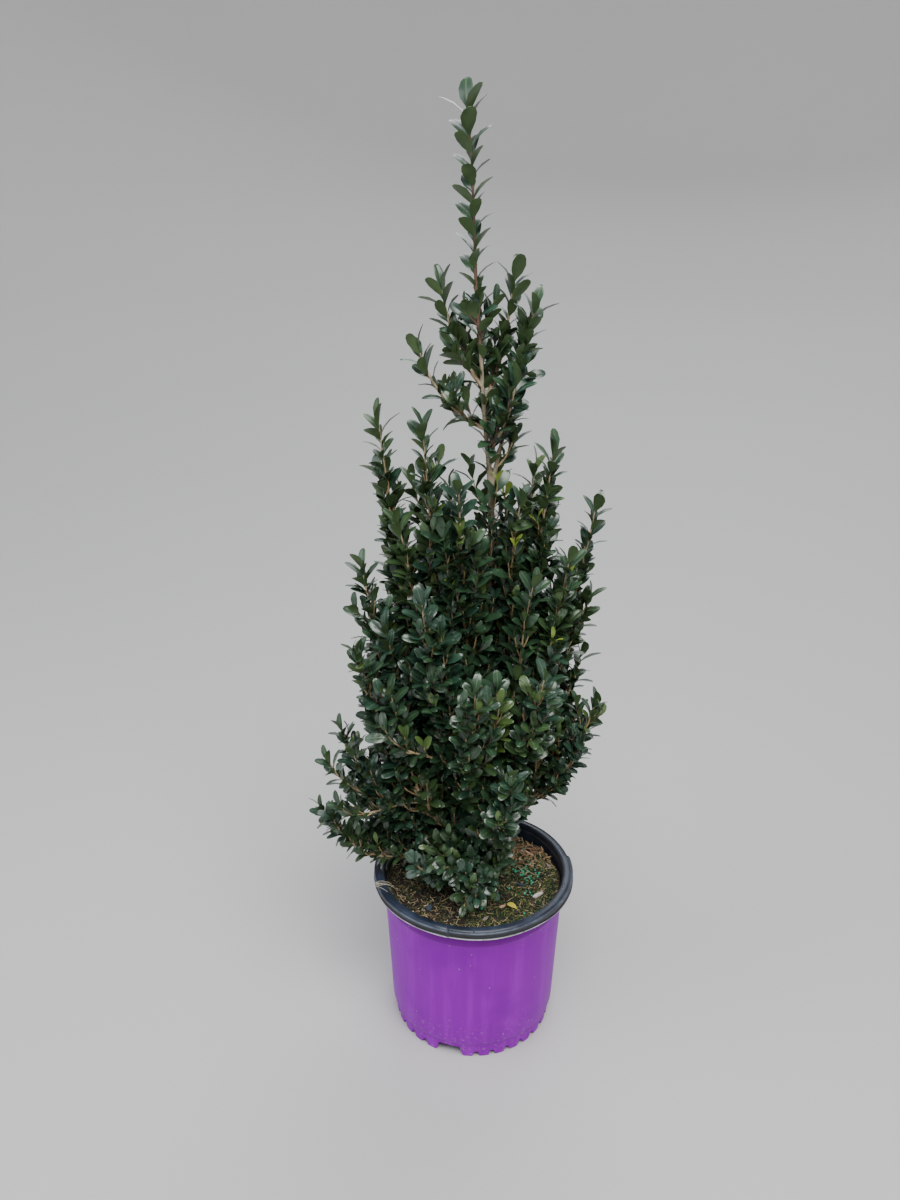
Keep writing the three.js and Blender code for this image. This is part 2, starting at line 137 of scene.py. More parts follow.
class Bench:
    """A material that is being put together."""

    def __init__(self, name: str) -> None:
        """Starts an empty material.

        Args:
            name: Its name.
        """
        self.material = bpy.data.materials.new(name)
        self.material.use_nodes = True
        self.tree = self.material.node_tree
        self.tree.nodes.clear()
        self.place = self.node("ShaderNodeTexCoord", {}, {}, "Object")

    def node(
        self, kind: str, settings: dict[str, Any], sockets: dict[Any, Any], output: Any = 0
    ) -> Wire:
        """Adds any node.

        Args:
            kind: The node's type.
            settings: Its own settings, set first.
            sockets: Values or wires by the input's name or number.
            output: The name or number of the output that is wanted.

        Returns:
            That output.
        """
        made = self.tree.nodes.new(kind)
        for key, value in settings.items():
            setattr(made, key, value)
        for key, value in sockets.items():
            if isinstance(value, Wire):
                self.tree.links.new(value.socket, made.inputs[key])
            elif isinstance(value, tuple) and made.inputs[key].type == "RGBA":
                made.inputs[key].default_value = (*value, 1.0)
            else:
                made.inputs[key].default_value = value
        return Wire(self, made.outputs[output])

    def stretched(self, scale: tuple[float, float, float]) -> Wire:
        """Object coordinates, scaled along each axis."""
        return self.node("ShaderNodeMapping", {}, {"Vector": self.place, "Scale": scale})

    def noise(
        self, scale: float, detail: float = 3.0, rough: float = 0.55, vector: Wire | None = None
    ) -> Wire:
        """Soft noise from 0 to 1, with features of 1 / scale metres."""
        sockets = {"Vector": vector or self.place, "Scale": scale, "Detail": detail, "Roughness": rough}
        return self.node("ShaderNodeTexNoise", {}, sockets, "Fac")

    def cells(self, scale: float, vector: Wire | None = None) -> Wire:
        """The distance to the nearest centre in cells of 1 / scale metres."""
        sockets = {"Vector": vector or self.place, "Scale": scale}
        return self.node("ShaderNodeTexVoronoi", {}, sockets, "Distance")

    def mix(self, share: Any, first: Any, second: Any) -> Wire:
        """A colour between two others."""
        return self.node("ShaderNodeMix", {"data_type": "RGBA"}, {0: share, 6: first, 7: second}, 2)

    def bump(self, height: Wire, distance: float) -> Wire:
        """A surface relief of that height in metres."""
        return self.node("ShaderNodeBump", {}, {"Height": height, "Distance": distance}, "Normal")

    def done(self, **sockets: Any) -> bpy.types.Material:
        """Closes the material with a Principled shader.

        Args:
            sockets: Values or wires by the shader's input, with underscores for spaces.

        Returns:
            The material.
        """
        named = {key.replace("_", " "): value for key, value in sockets.items()}
        shader = self.node("ShaderNodeBsdfPrincipled", {}, named, "BSDF")
        out = self.tree.nodes.new("ShaderNodeOutputMaterial")
        self.tree.links.new(shader.socket, out.inputs["Surface"])
        return self.material


@dataclass(frozen=True)
class WallPlastic:
    """Satin moulded plastic with faint streaks, rubbed specks and splashes towards the foot."""

    name: str = "pot_wall_plastic"
    colour: Colour = (0.265, 0.0015, 0.43)
    lighter: Colour = (0.35, 0.010, 0.55)
    deeper: Colour = (0.205, 0.001, 0.365)
    dust: Colour = (0.46, 0.33, 0.50)
    roughness: float = 0.42
    gloss: float = 0.09

    def make(self) -> bpy.types.Material:
        """Builds the material.

        Returns:
            The material.
        """
        bench = Bench(self.name)
        height = bench.node("ShaderNodeSeparateXYZ", {}, {0: bench.place}, "Z")
        upright = bench.stretched((1.0, 1.0, 0.06))
        streaks = bench.noise(70.0, 4.0, 0.6, upright).between(0.42, 0.74)
        splash = bench.noise(210.0, 4.0, 0.7).between(0.54, 0.70) * height.between(0.07, 0.0)
        specks = bench.cells(95.0).between(0.12, 0.06) * bench.noise(30.0, 2.0).between(0.47, 0.56)
        grime = splash * 0.5 + specks * 0.55
        patches = bench.noise(13.0, 3.0, 0.6).between(0.50, 0.72)
        colour = bench.mix(streaks * 0.7, self.colour, self.lighter)
        colour = bench.mix(patches * 0.55, colour, self.deeper)
        colour = bench.mix(grime, colour, self.dust)
        scuffs = bench.noise(240.0, 3.0, 0.6, bench.stretched((1.0, 1.0, 0.08)))
        rough = self.roughness + grime * 0.3 + (scuffs - 0.5) * 0.10
        peel = bench.noise(420.0, 2.0) * 0.5 + scuffs * 0.5
        relief = bench.bump(peel, 0.00012)
        return bench.done(Base_Color=colour, Roughness=rough, Normal=relief, Specular_IOR_Level=self.gloss)


@dataclass(frozen=True)
class RimPlastic:
    """Black plastic that weather has dulled, with soil dust in its groove. Its lighter tone is wear, and on
    the rim's bead it is a painted highlight.
    """

    name: str = "rim_plastic"
    colour: Colour = (0.011, 0.015, 0.027)
    wear_and_highlight: Colour = (0.032, 0.046, 0.080)
    soil: Colour = (0.007, 0.006, 0.005)
    roughness: float = 0.30

    def make(self) -> bpy.types.Material:
        """Builds the material.

        Returns:
            The material.
        """
        bench = Bench(self.name)
        wear_and_highlight_share = bench.noise(34.0, 5.0, 0.65).between(0.36, 0.70)
        dirt = bench.cells(230.0).between(0.24, 0.08) * bench.noise(22.0, 3.0).between(0.47, 0.60)
        # The lighter tone marks wear, and on the rim's bead it is a painted highlight.
        colour = bench.mix(wear_and_highlight_share * 0.8, self.colour, self.wear_and_highlight)
        colour = bench.mix(dirt, colour, self.soil)
        grain = bench.noise(700.0, 3.0, 0.6)
        rough = self.roughness + wear_and_highlight_share * 0.12 + dirt * 0.3 + (grain - 0.5) * 0.1
        return bench.done(Base_Color=colour, Roughness=rough, Normal=bench.bump(grain + dirt * 2.0, 0.00015))


@dataclass(frozen=True)
class LeafSkin:
    """One side of a leaf: a glossy cuticle above, or the duller skin below."""

    name: str
    colour: Colour
    shade: Colour
    roughness: float = 0.34
    coat: float = 0.0
    coat_roughness: float = 0.26

    def make(self) -> bpy.types.Material:
        """Builds the material, whose tone drifts from leaf to leaf.

        Returns:
            The material.
        """
        bench = Bench(self.name)
        tone = bench.noise(48.0, 2.0).between(0.34, 0.66)
        return bench.done(
            Base_Color=bench.mix(tone, self.shade, self.colour), Roughness=self.roughness,
            Coat_Weight=self.coat, Coat_Roughness=self.coat_roughness,
        )


@dataclass(frozen=True)
class TwigSkin:
    """The thin skin of young wood, whose tone drifts along it."""

    name: str
    colour: Colour
    shade: Colour
    roughness: float = 0.62

    def make(self) -> bpy.types.Material:
        """Builds the material.

        Returns:
            The material.
        """
        bench = Bench(self.name)
        tone = bench.noise(75.0, 3.0, 0.6).between(0.36, 0.62)
        return bench.done(Base_Color=bench.mix(tone, self.shade, self.colour), Roughness=self.roughness)


@dataclass(frozen=True)
class Bark:
    """Smooth young bark with pale pores, fine ridges and darker bands."""

    name: str
    colour: Colour
    pale: Colour
    dark: Colour
    scale: float = 1.0
    roughness: float = 0.78

    def make(self) -> bpy.types.Material:
        """Builds the material.

        Returns:
            The material.
        """
        bench = Bench(self.name)
        along = bench.stretched((1.0, 1.0, 0.22))
        ridges = bench.noise(520.0 * self.scale, 4.0, 0.62, along)
        bands = bench.noise(60.0 * self.scale, 4.0, 0.6)
        pores = bench.cells(420.0 * self.scale, vector=bench.stretched((1.0, 1.0, 1.7))).between(0.26, 0.12)
        colour = bench.mix(bands.between(0.38, 0.64), self.dark, self.colour)
        colour = bench.mix(ridges.between(0.45, 0.75) * 0.6, colour, self.pale)
        colour = bench.mix(pores * 0.75, colour, self.pale)
        relief = bench.bump(ridges + pores * 0.8, 0.0006)
        return bench.done(Base_Color=colour, Roughness=self.roughness + (ridges - 0.5) * 0.2, Normal=relief)


@dataclass(frozen=True)
class Crumbs:
    """Rough matter of two tones, such as soil, bark chips, moss or straw."""

    name: str
    colour: Colour
    other: Colour
    scale: float = 180.0
    roughness: float = 0.9
    relief: float = 0.0008

    def make(self) -> bpy.types.Material:
        """Builds the material.

        Returns:
            The material.
        """
        bench = Bench(self.name)
        grain = bench.noise(self.scale, 5.0, 0.65)
        lumps = bench.cells(self.scale * 1.6)
        colour = bench.mix(grain.between(0.38, 0.66), self.colour, self.other)
        relief = bench.bump(grain + lumps * 0.6, self.relief)
        return bench.done(Base_Color=colour, Roughness=self.roughness + (grain - 0.5) * 0.2, Normal=relief)


@dataclass(frozen=True)
class Prill:
    """The waxy coat of a fertiliser prill."""

    name: str = "prill_coat"
    colour: Colour = (0.008, 0.23, 0.125)
    other: Colour = (0.03, 0.44, 0.27)

    def make(self) -> bpy.types.Material:
        """Builds the material.

        Returns:
            The material.
        """
        bench = Bench(self.name)
        tone = bench.noise(260.0, 2.0).between(0.4, 0.65)
        colour = bench.mix(tone, self.colour, self.other)
        return bench.done(Base_Color=colour, Roughness=0.38 + tone * 0.2, Coat_Weight=0.2)


# Meshes


def piece_from(
    name: str,
    vertices: np.ndarray,
    faces: list[list[int]],
    materials: Sequence[bpy.types.Material],
    material_of: np.ndarray | None = None,
    angle: float = 50.0,
) -> bpy.types.Object:
    """Makes one object from arrays.

    Args:
        name: The piece's name.
        vertices: Positions in metres.
        faces: Vertex numbers of each face.
        materials: The piece's materials.
        material_of: The material's number for each face, or None for the first.
        angle: Edges that turn by more than this many degrees stay sharp.

    Returns:
        The object, smooth shaded.
    """
    mesh = bpy.data.meshes.new(name)
    mesh.from_pydata(vertices.tolist(), [], faces)
    for material in materials:
        mesh.materials.append(material)
    if material_of is not None:
        mesh.polygons.foreach_set("material_index", np.asarray(material_of, dtype=np.int32))
    mesh.update()
    made = bpy.data.objects.new(name, mesh)
    bpy.context.collection.objects.link(made)
    smooth(made, angle)
    return made


def smooth(piece: bpy.types.Object, angle: float) -> None:
    """Shades a piece smooth, but for edges that turn by more than an angle in degrees.

    Args:
        piece: The piece.
        angle: The angle up to which an edge is shaded smooth.
    """
    bpy.ops.object.select_all(action="DESELECT")
    piece.select_set(True)
    bpy.context.view_layer.objects.active = piece
    bpy.ops.object.shade_smooth_by_angle(angle=math.radians(angle))


def turned(name: str, profile: Profile, steps: int) -> bpy.types.Object:
    """Turns a closed profile round the pot's axis.

    Args:
        name: The piece's name.
        profile: Pairs of radius and height in metres, the inside of the ring on their left.
        steps: The number of facets round the axis.

    Returns:
        The ring, in object mode.
    """
    bpy.ops.object.select_all(action="DESELECT")
    radius, height = profile[0]
    bpy.ops.mesh.primitive_plane_add(size=MM, location=(radius, 0.0, height))
    made = bpy.context.object
    made.name = made.data.name = name
    bpy.ops.object.transform_apply(location=True, rotation=True, scale=True)
    bpy.ops.object.mode_set(mode="EDIT")
    bpy.ops.mesh.select_all(action="SELECT")
    bpy.ops.mesh.merge(type="CENTER")
    for (radius, height), (next_radius, next_height) in zip(profile, profile[1:]):
        step = (next_radius - radius, 0.0, next_height - height)
        bpy.ops.mesh.extrude_region_move(TRANSFORM_OT_translate={"value": step})
    bpy.ops.mesh.select_all(action="SELECT")
    bpy.ops.mesh.spin(steps=steps, angle=2 * math.pi, center=(0, 0, 0), axis=(0, 0, 1))
    bpy.ops.mesh.select_all(action="SELECT")
    bpy.ops.mesh.remove_doubles(threshold=0.00002)
    bpy.ops.mesh.normals_make_consistent(inside=False)
    bpy.ops.object.mode_set(mode="OBJECT")
    return made


def slab_faces(base: int, rings: int, mirrored: bool = False) -> list[list[int]]:
    """The faces of a closed slab that has four vertices to a ring.

    Args:
        base: The number of its first vertex.
        rings: How many rings it has.
        mirrored: Whether its rings run the other way round.

    Returns:
        The four sides between each two rings, and then both ends.
    """
    end, faces = base + 4 * (rings - 1), []
    for ring in range(base, end, 4):
        for corner in range(4):
            beside = ring + (corner + 1) % 4
            faces.append([ring + corner, beside, beside + 4, ring + corner + 4])
    faces += [[base + 3, base + 2, base + 1, base], [end, end + 1, end + 2, end + 3]]
    return [[face[0], *face[:0:-1]] for face in faces] if mirrored else faces


def dress(piece: bpy.types.Object, slot: Slot, *materials: bpy.types.Material) -> None:
    """Gives a piece its materials, and lets it ride on the part's one body.

    Args:
        piece: The piece.
        slot: Not used.
        materials: Its materials, or none to keep what it has.
    """
    if materials:
        piece.data.materials.clear()
        for material in materials:
            piece.data.materials.append(material)
    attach(piece, "root")


def chance(shoot: int, item: int, draw: int) -> float:
    """A repeatable chance from 0 to 1 for one draw of one shoot, as in the solids' rule."""
    wave = math.sin(shoot * 12.9898 + item * 78.233 + draw * 37.719) * 43758.5453
    return wave - math.floor(wave)


def unit(vector: np.ndarray) -> np.ndarray:
    """A vector, or each row of an array, at length 1."""
    return vector / np.maximum(np.linalg.norm(vector, axis=-1, keepdims=True), 1e-12)


def turned_about(vector: np.ndarray, axis: np.ndarray, angle: float) -> np.ndarray:
    """A vector turned about a unit axis by an angle in radians."""
    cosine, sine = math.cos(angle), math.sin(angle)
    return vector * cosine + np.cross(axis, vector) * sine + axis * np.dot(axis, vector) * (1 - cosine)


class Path:
    """A curve as closely spaced points, measured along its length."""

    def __init__(self, points: Iterable[Sequence[float]]) -> None:
        """Keeps the points and measures the way along them.

        Args:
            points: The points in order.
        """
        self.points = np.asarray(list(points), dtype=float)
        steps = np.linalg.norm(np.diff(self.points, axis=0), axis=1)
        self.run = np.concatenate([[0.0], np.cumsum(steps)])
        self.length = float(self.run[-1])

    def at(self, share: float | np.ndarray) -> np.ndarray:
        """The point, or points, at a share of the length."""
        way = np.asarray(share) * self.length
        return np.stack([np.interp(way, self.run, self.points[:, i]) for i in range(3)], axis=-1)

    def along(self, share: float) -> np.ndarray:
        """The direction at a share of the length."""
        low, high = max(0.0, share - 0.02), min(1.0, share + 0.02)
        return unit(self.at(high) - self.at(low))

    def stretch(self, start: float, end: float, pieces: int = 24) -> "Path":
        """The part of the curve between two shares."""
        return Path(self.at(np.linspace(start, end, pieces + 1)))

    @staticmethod
    def bezier(corners: Sequence[np.ndarray], pieces: int = 40) -> "Path":
        """A Bezier curve through its first and last corner, with two or one between.

        Args:
            corners: Three or four points, of which the inner ones steer the curve.
            pieces: How many steps it takes.

        Returns:
            The curve.
        """
        t = np.linspace(0.0, 1.0, pieces + 1)[:, None]
        if len(corners) == 3:
            a, b, c = corners
            return Path((1 - t) ** 2 * a + 2 * t * (1 - t) * b + t**2 * c)
        a, b, c, d = corners
        return Path((1 - t) ** 3 * a + 3 * t * (1 - t) ** 2 * b + 3 * t**2 * (1 - t) * c + t**3 * d)

    @staticmethod
    def through(line: Sequence[Sequence[float]], pieces: int = 16) -> "Path":
        """A centripetal Catmull-Rom curve through points.

        Args:
            line: The points that the curve goes through.
            pieces: How many steps it takes from each point to the next.

        Returns:
            The curve.
        """
        knots = [np.asarray(point, dtype=float) for point in line]
        knots = [2 * knots[0] - knots[1], *knots, 2 * knots[-1] - knots[-2]]
        found = []
        for a, b, c, d in zip(knots, knots[1:], knots[2:], knots[3:]):
            ab, bc, cd = (math.sqrt(np.linalg.norm(q - p)) for p, q in ((a, b), (b, c), (c, d)))
            out = ((b - a) / ab - (c - a) / (ab + bc) + (c - b) / bc) * bc
            into = ((c - b) / bc - (d - b) / (bc + cd) + (d - c) / cd) * bc
            for t in np.arange(pieces) / pieces:
                cubic = (2 * t**3 - 3 * t**2 + 1) * b + (t**3 - 2 * t**2 + t) * out
                found.append(cubic + (3 * t**2 - 2 * t**3) * c + (t**3 - t**2) * into)
        return Path([*found, knots[-2]])


class Tubes:
    """Round limbs that are gathered into one mesh."""

    def __init__(self) -> None:
        """Starts with no limbs."""
        self.vertices: list[np.ndarray] = []
        self.faces: list[list[int]] = []
        self.material_of: list[int] = []
        self.count = 0

    def add(
        self,
        path: Path,
        radius_at: Callable[[float, float], float],
        sides: int,
        rings: Sequence[float],
        material: int = 0,
        flat_foot: bool = False,
    ) -> None:
        """Adds one closed limb.

        Args:
            path: Its centre line in millimetres.
            radius_at: Its radius at a share of its length and a turn round it.
            sides: How many facets it has round.
            rings: The shares of its length that have a ring of vertices.
            material: The number of its material.
            flat_foot: Whether its first ring is level.
        """
        across = unit(np.cross(path.along(0.0), ACROSS))
        turns = np.arange(sides) * 2 * math.pi / sides
        for number, share in enumerate(rings):
            centre, along = path.at(share), path.along(share)
            across = unit(across - along * np.dot(across, along))
            other = np.cross(along, across)
            spokes = np.cos(turns)[:, None] * across + np.sin(turns)[:, None] * other
            radii = np.array([radius_at(share, turn) for turn in turns])[:, None]
            ring = centre + spokes * radii
            if flat_foot and number == 0:
                ring[:, 2] = centre[2]
            self.vertices.append(ring * MM)
        base = self.count
        for ring in range(len(rings) - 1):
            for side in range(sides):
                a = base + ring * sides + side
                b = base + ring * sides + (side + 1) % sides
                self.faces.append([a, b, b + sides, a + sides])
        self.faces.append(list(range(base + sides - 1, base - 1, -1)))
        top = base + (len(rings) - 1) * sides
        self.faces.append(list(range(top, top + sides)))
        self.count += len(rings) * sides
        self.material_of += [material] * ((len(rings) - 1) * sides + 2)

    def piece(self, name: str, materials: Sequence[bpy.types.Material]) -> bpy.types.Object:
        """Makes the gathered limbs one object."""
        return piece_from(name, np.concatenate(self.vertices), self.faces, materials, self.material_of, 60.0)


# The plant


@dataclass(frozen=True)
class Tier:
    """How one tier of shoots grows.

    As in the solids' rule, it names the share of a shoot that is bare, how much the shoot bows, its
    longest twig and the share of its stem that has side twigs. What follows is finer and only here: a
    share for side twigs, how many lesser shoots rise beside it and how high, and how far twigs may pass
    the shoot's own reach.
    """

    name: str
    bare: float
    bow: float
    twig_length: float
    twig_share: float
    side_length: float = 1.0
    companions: int = 0
    companion_rise: float = 1.0
    past_reach: float = 10.0


@dataclass
class Shoot:
    """One shoot: a bough that runs out and turns up, and the stem that goes on in its mass."""

    name: str
    number: int
    tier: Tier
    path: Path
    root_radius: float
    bough: bool
    reach: float

    def radius_at(self, share: float) -> float:
        """The bough's and stem's radius at a share of the whole shoot."""
        return self.root_radius + (0.8 - self.root_radius) * share**0.72

    @property
    def stem(self) -> Path:
        """The part that carries foliage."""
        return self.path.stretch(self.tier.bare, 1.0)


@dataclass
class Plant:
    """The trunk, the shoots and the space that each shoot's mass has, in millimetres."""

    soil_height: float = 188.8
    rim_height: float = 202.0
    inner_radius: float = 105.0
    line: tuple = (
        (0, 0, 188.8), (1, 0, 215), (5, 1, 300), (10, 2, 450), (15, 1, 600), (12.5, 0, 675), (6, 0, 740),
        (1.5, 0, 806),
    )
    leader: tuple = ((1.5, 0, 806.4), (-3, 0, 856), (-4.8, 0, 900), (-8.6, 0, 975), (-12, 0, 1013))
    low_radius: float = 7.6
    top_radius: float = 2.2
    flare: float = 5.0
    flare_height: float = 26.0
    roots: int = 4
    tip_leaf: float = 21.0
    leader_radius: float = 2.1
    leader_reach: float = 34.0
    tiers: tuple = (
        Tier("fork", 0.34, 0, 46, 0.66, 0.7, past_reach=-12.0),
        Tier("high", 0.34, 1, 66, 0.66, 0.66, 3, 0.84, 4.0),
        Tier("middle", 0.3, 1, 62, 0.7, 0.8, 4),
        Tier("low", 0.26, 1, 56, 0.78, 0.9, 5),
        Tier("foot", 0.0, 1, 52, 0.8, companions=1),
        Tier("tuft", 0.0, 1, 36, 0.6, past_reach=-14.0),
        Tier("leader", 0.0, 1, 30, 0.3),
    )
    table: tuple = (
        ("left_high", "high", 180, 330, 101, 752),
        ("front_left_high", "high", -152, 362, 63, 751),
        ("front_high", "high", -114, 398, 50, 694),
        ("right_high", "high", -7, 425, 77, 724),
        ("right_outer", "high", 5, 300, 126, 662),
        ("back_right_high", "high", 38, 375, 80, 694),
        ("back_high", "high", 110, 345, 84, 664),
        ("left_middle", "middle", -174, 262, 123, 604),
        ("front_left_middle", "middle", -128, 300, 94, 588),
        ("front_middle", "middle", -92, 272, 104, 508),
        ("front_right_middle", "middle", -52, 288, 112, 512),
        ("right_middle", "middle", -20, 335, 101, 618),
        ("right_back_middle", "middle", 18, 256, 130, 478),
        ("back_right_middle", "middle", 76, 284, 122, 588),
        ("back_left_middle", "middle", 142, 292, 124, 580),
        ("left_front_low", "low", -158, 232, 136, 524),
        ("left_low", "low", -176, 222, 155, 412),
        ("left_skirt", "low", 176, 203, 190, 292),
        ("front_right_low", "low", -70, 240, 110, 402),
        ("right_low", "low", -9, 246, 136, 446),
        ("back_right_low", "low", 46, 226, 148, 424),
        ("back_low", "low", 96, 236, 148, 436),
        ("back_left_low", "low", 138, 216, 158, 404),
        ("fork_shoot", "fork", -5, 666, 56, 862),
        ("foot_left", "foot", -142, 205, 94, 262),
        ("foot_front", "foot", -99, 202, 76, 262),
        ("foot_right", "foot", -48, 206, 60, 270),
        ("tuft_left", "tuft", 180, 728, 63, 822),
        ("tuft_back_left", "tuft", 153, 770, 44, 879),
        ("tuft_back_right", "tuft", 35, 752, 43, 889),
        ("tuft_front", "tuft", -33, 706, 44, 792),
    )

    def __post_init__(self) -> None:
        """Plans every shoot from the table, and keeps all stems for the test of room."""
        self.trunk = Path.through(self.line)
        self.rules = {tier.name: tier for tier in self.tiers}
        self.shoots = [self.plan(number, row) for number, row in enumerate(self.table)]
        leader = Path.through(self.leader)
        rule, size = self.rules["leader"], (self.leader_radius, False, self.leader_reach)
        self.shoots.append(Shoot("leader", len(self.table), rule, leader, *size))
        self.stems = np.stack([shoot.stem.at(np.linspace(0, 1, 9)) for shoot in self.shoots])

    def shoot(self, name: str) -> Shoot:
        """The shoot of that name."""
        return next(shoot for shoot in self.shoots if shoot.name == name)

    def trunk_at(self, height: float) -> np.ndarray:
        """The point of the trunk's centre line at a height."""
        heights = self.trunk.points[:, 2]
        return np.array([np.interp(height, heights, self.trunk.points[:, i]) for i in range(3)])

    def trunk_radius(self, share: float, turn: float) -> float:
        """The trunk's radius, with the low roots that it spreads into at the soil.

        Args:
            share: The share of the trunk's length.
            turn: The turn round it, in radians.

        Returns:
            The radius in millimetres.
        """
        spread = max(0.0, 1 - share * self.trunk.length / self.flare_height) ** 1.6
        root = 0.7 + 0.3 * math.cos(turn * self.roots)
        taper = (self.top_radius - self.low_radius) * share**0.85
        return self.low_radius + taper + self.flare * spread * root

    def plan(self, number: int, row: tuple) -> Shoot:
        """Works out one shoot.

        Args:
            number: Its place in the table.
            row: Its name, its tier, its direction in degrees from +X, the height at which it leaves the
                trunk, how far its tip stands from the pot's axis, and the height of its tip.

        Returns:
            The shoot.
        """
        name, tier, azimuth, low, reach, high = row
        root, angle, rule = self.trunk_at(low), math.radians(azimuth), self.rules[tier]
        tip = np.array([reach * math.cos(angle), reach * math.sin(angle), high])
        away = (tip - root) * (1, 1, 0)
        climb = math.atan2(np.linalg.norm(away), high - low)
        away = unit(away)
        leaving = min(climb + rule.bow * (0.6 * climb + math.radians(10)), math.radians(74))
        arriving = climb * (1 - 0.55 * rule.bow)

        def heading(lean: float) -> np.ndarray:
            """The direction outwards that leans that far from upright."""
            return away * math.sin(lean) + UP * math.cos(lean)

        tip = tip - heading(arriving) * self.tip_leaf
        length = np.linalg.norm(tip - root)
        knees = (root + heading(leaving) * length * 0.32, tip - heading(arriving) * length * 0.36)
        path = Path.bezier((root, *knees, tip))
        return Shoot(name, number, rule, path, 2.0 + 0.0048 * path.length, rule.bare > 0, reach)

    def room(self, points: np.ndarray, number: int, overlap: float) -> np.ndarray:
        """Whether points may belong to a shoot's mass.

        Args:
            points: The points to test.
            number: The shoot's number.
            overlap: How far past the border with the next mass a point may lie.

        Returns:
            True for each point that is nearer its own stem, above the soil and clear of the rim.
        """
        distances = distance_to(points, self.stems)
        own = distances[:, number].copy()
        distances[:, number] = np.inf
        return (distances.min(axis=1) - own > -2 * overlap) & self.clear(points)

    def clear(self, points: np.ndarray) -> np.ndarray:
        """Whether points are above the soil, clear of the rim and outside the trunk.

        Args:
            points: One point in each row.

        Returns:
            True for each point that is.
        """
        out = np.hypot(points[:, 0], points[:, 1])
        floor = np.where(out < self.inner_radius - 4, self.soil_height + 1.5, self.rim_height + 2.5)
        trunk = distance_to(points, self.trunk.at(np.linspace(0, 1, 25))[None])[:, 0]
        return (points[:, 2] > floor) & (trunk > 4.0)


def distance_to(points: np.ndarray, lines: np.ndarray) -> np.ndarray:
    """The distance of points from polylines.

    Args:
        points: One point in each row.
        lines: Polylines of equally many points.

    Returns:
        A row for each point, with its distance from each line.
    """
    start, way = lines[:, :-1], np.diff(lines, axis=1)
    from_start = points[:, None, None] - start[None]
    share = np.clip((from_start * way).sum(-1) / (way * way).sum(-1), 0.0, 1.0)
    return np.linalg.norm(from_start - share[..., None] * way, axis=-1).min(axis=2)


@dataclass
class Twig:
    """A twig of any order, and what it carries."""

    path: Path
    root_radius: float
    tip_radius: float
    leaves_from: float
    shoot: int
    order: int
    tint: Tint

    def radius_at(self, share: float, _: float) -> float:
        """The twig's radius at a share of its length, the same all round."""
        return self.root_radius + (self.tip_radius - self.root_radius) * share


@dataclass
class Leaf:
    """One leaf: where it is rooted, the ways that its tip and its upper face point, and its kind."""

    root: np.ndarray
    way: np.ndarray
    face: np.ndarray
    length: float
    tint: Tint
    cut: int


@dataclass
class LeafCut:
    """The outline and relief of one kind of leaf, as shares of its length."""

    stations: tuple = (0.0, 0.13, 0.37, 0.66, 0.90, 1.0)
    half_width: tuple = (0.018, 0.062, 0.184, 0.226, 0.158, 0.066)
    across: tuple = (-1.0, -0.52, -0.07, 0.07, 0.52, 1.0)
    fold: float = 0.10
    swell: float = 0.11
    droop: float = 0.14
    thickness: float = 0.02
    arch: float = 0.07

    def mesh(self) -> tuple[np.ndarray, list[list[int]], list[int]]:
        """Cuts the leaf: each half rises from the rib and rolls over towards its edge.

        Returns:
            Its vertices, its faces, and for each face 0 for the blade, 1 for the rib, 2 for below.
        """
        rows, faces, sides = [], [], []
        for along, half in zip(self.stations, self.half_width):
            bulge = math.sin(math.pi * along)
            spine = self.arch * bulge - self.droop * along**2
            for side in self.across:
                lift = self.fold * abs(side) + 4 * self.swell * abs(side) * (1 - abs(side))
                rows.append((side * half, along, spine + lift * half))
            rows.append((0, along, spine - self.thickness * (0.6 + 0.4 * bulge)))
        width, top = len(self.across) + 1, len(self.across) - 1
        kinds = [1 if self.across[i] == -self.across[i + 1] else 0 for i in range(top)]
        for row in range(len(self.stations) - 1):
            a, b = width * row, width * (row + 1)
            faces += [[a + i, a + i + 1, b + i + 1, b + i] for i in range(top)]
            faces += [[a, b, b + width - 1, a + width - 1], [a + width - 1, b + width - 1, b + top, a + top]]
            sides += kinds + [2, 2]
        last = width * (len(self.stations) - 1)
        faces.append(list(range(last, last + width)))
        sides.append(2)
        return np.array(rows), faces, sides


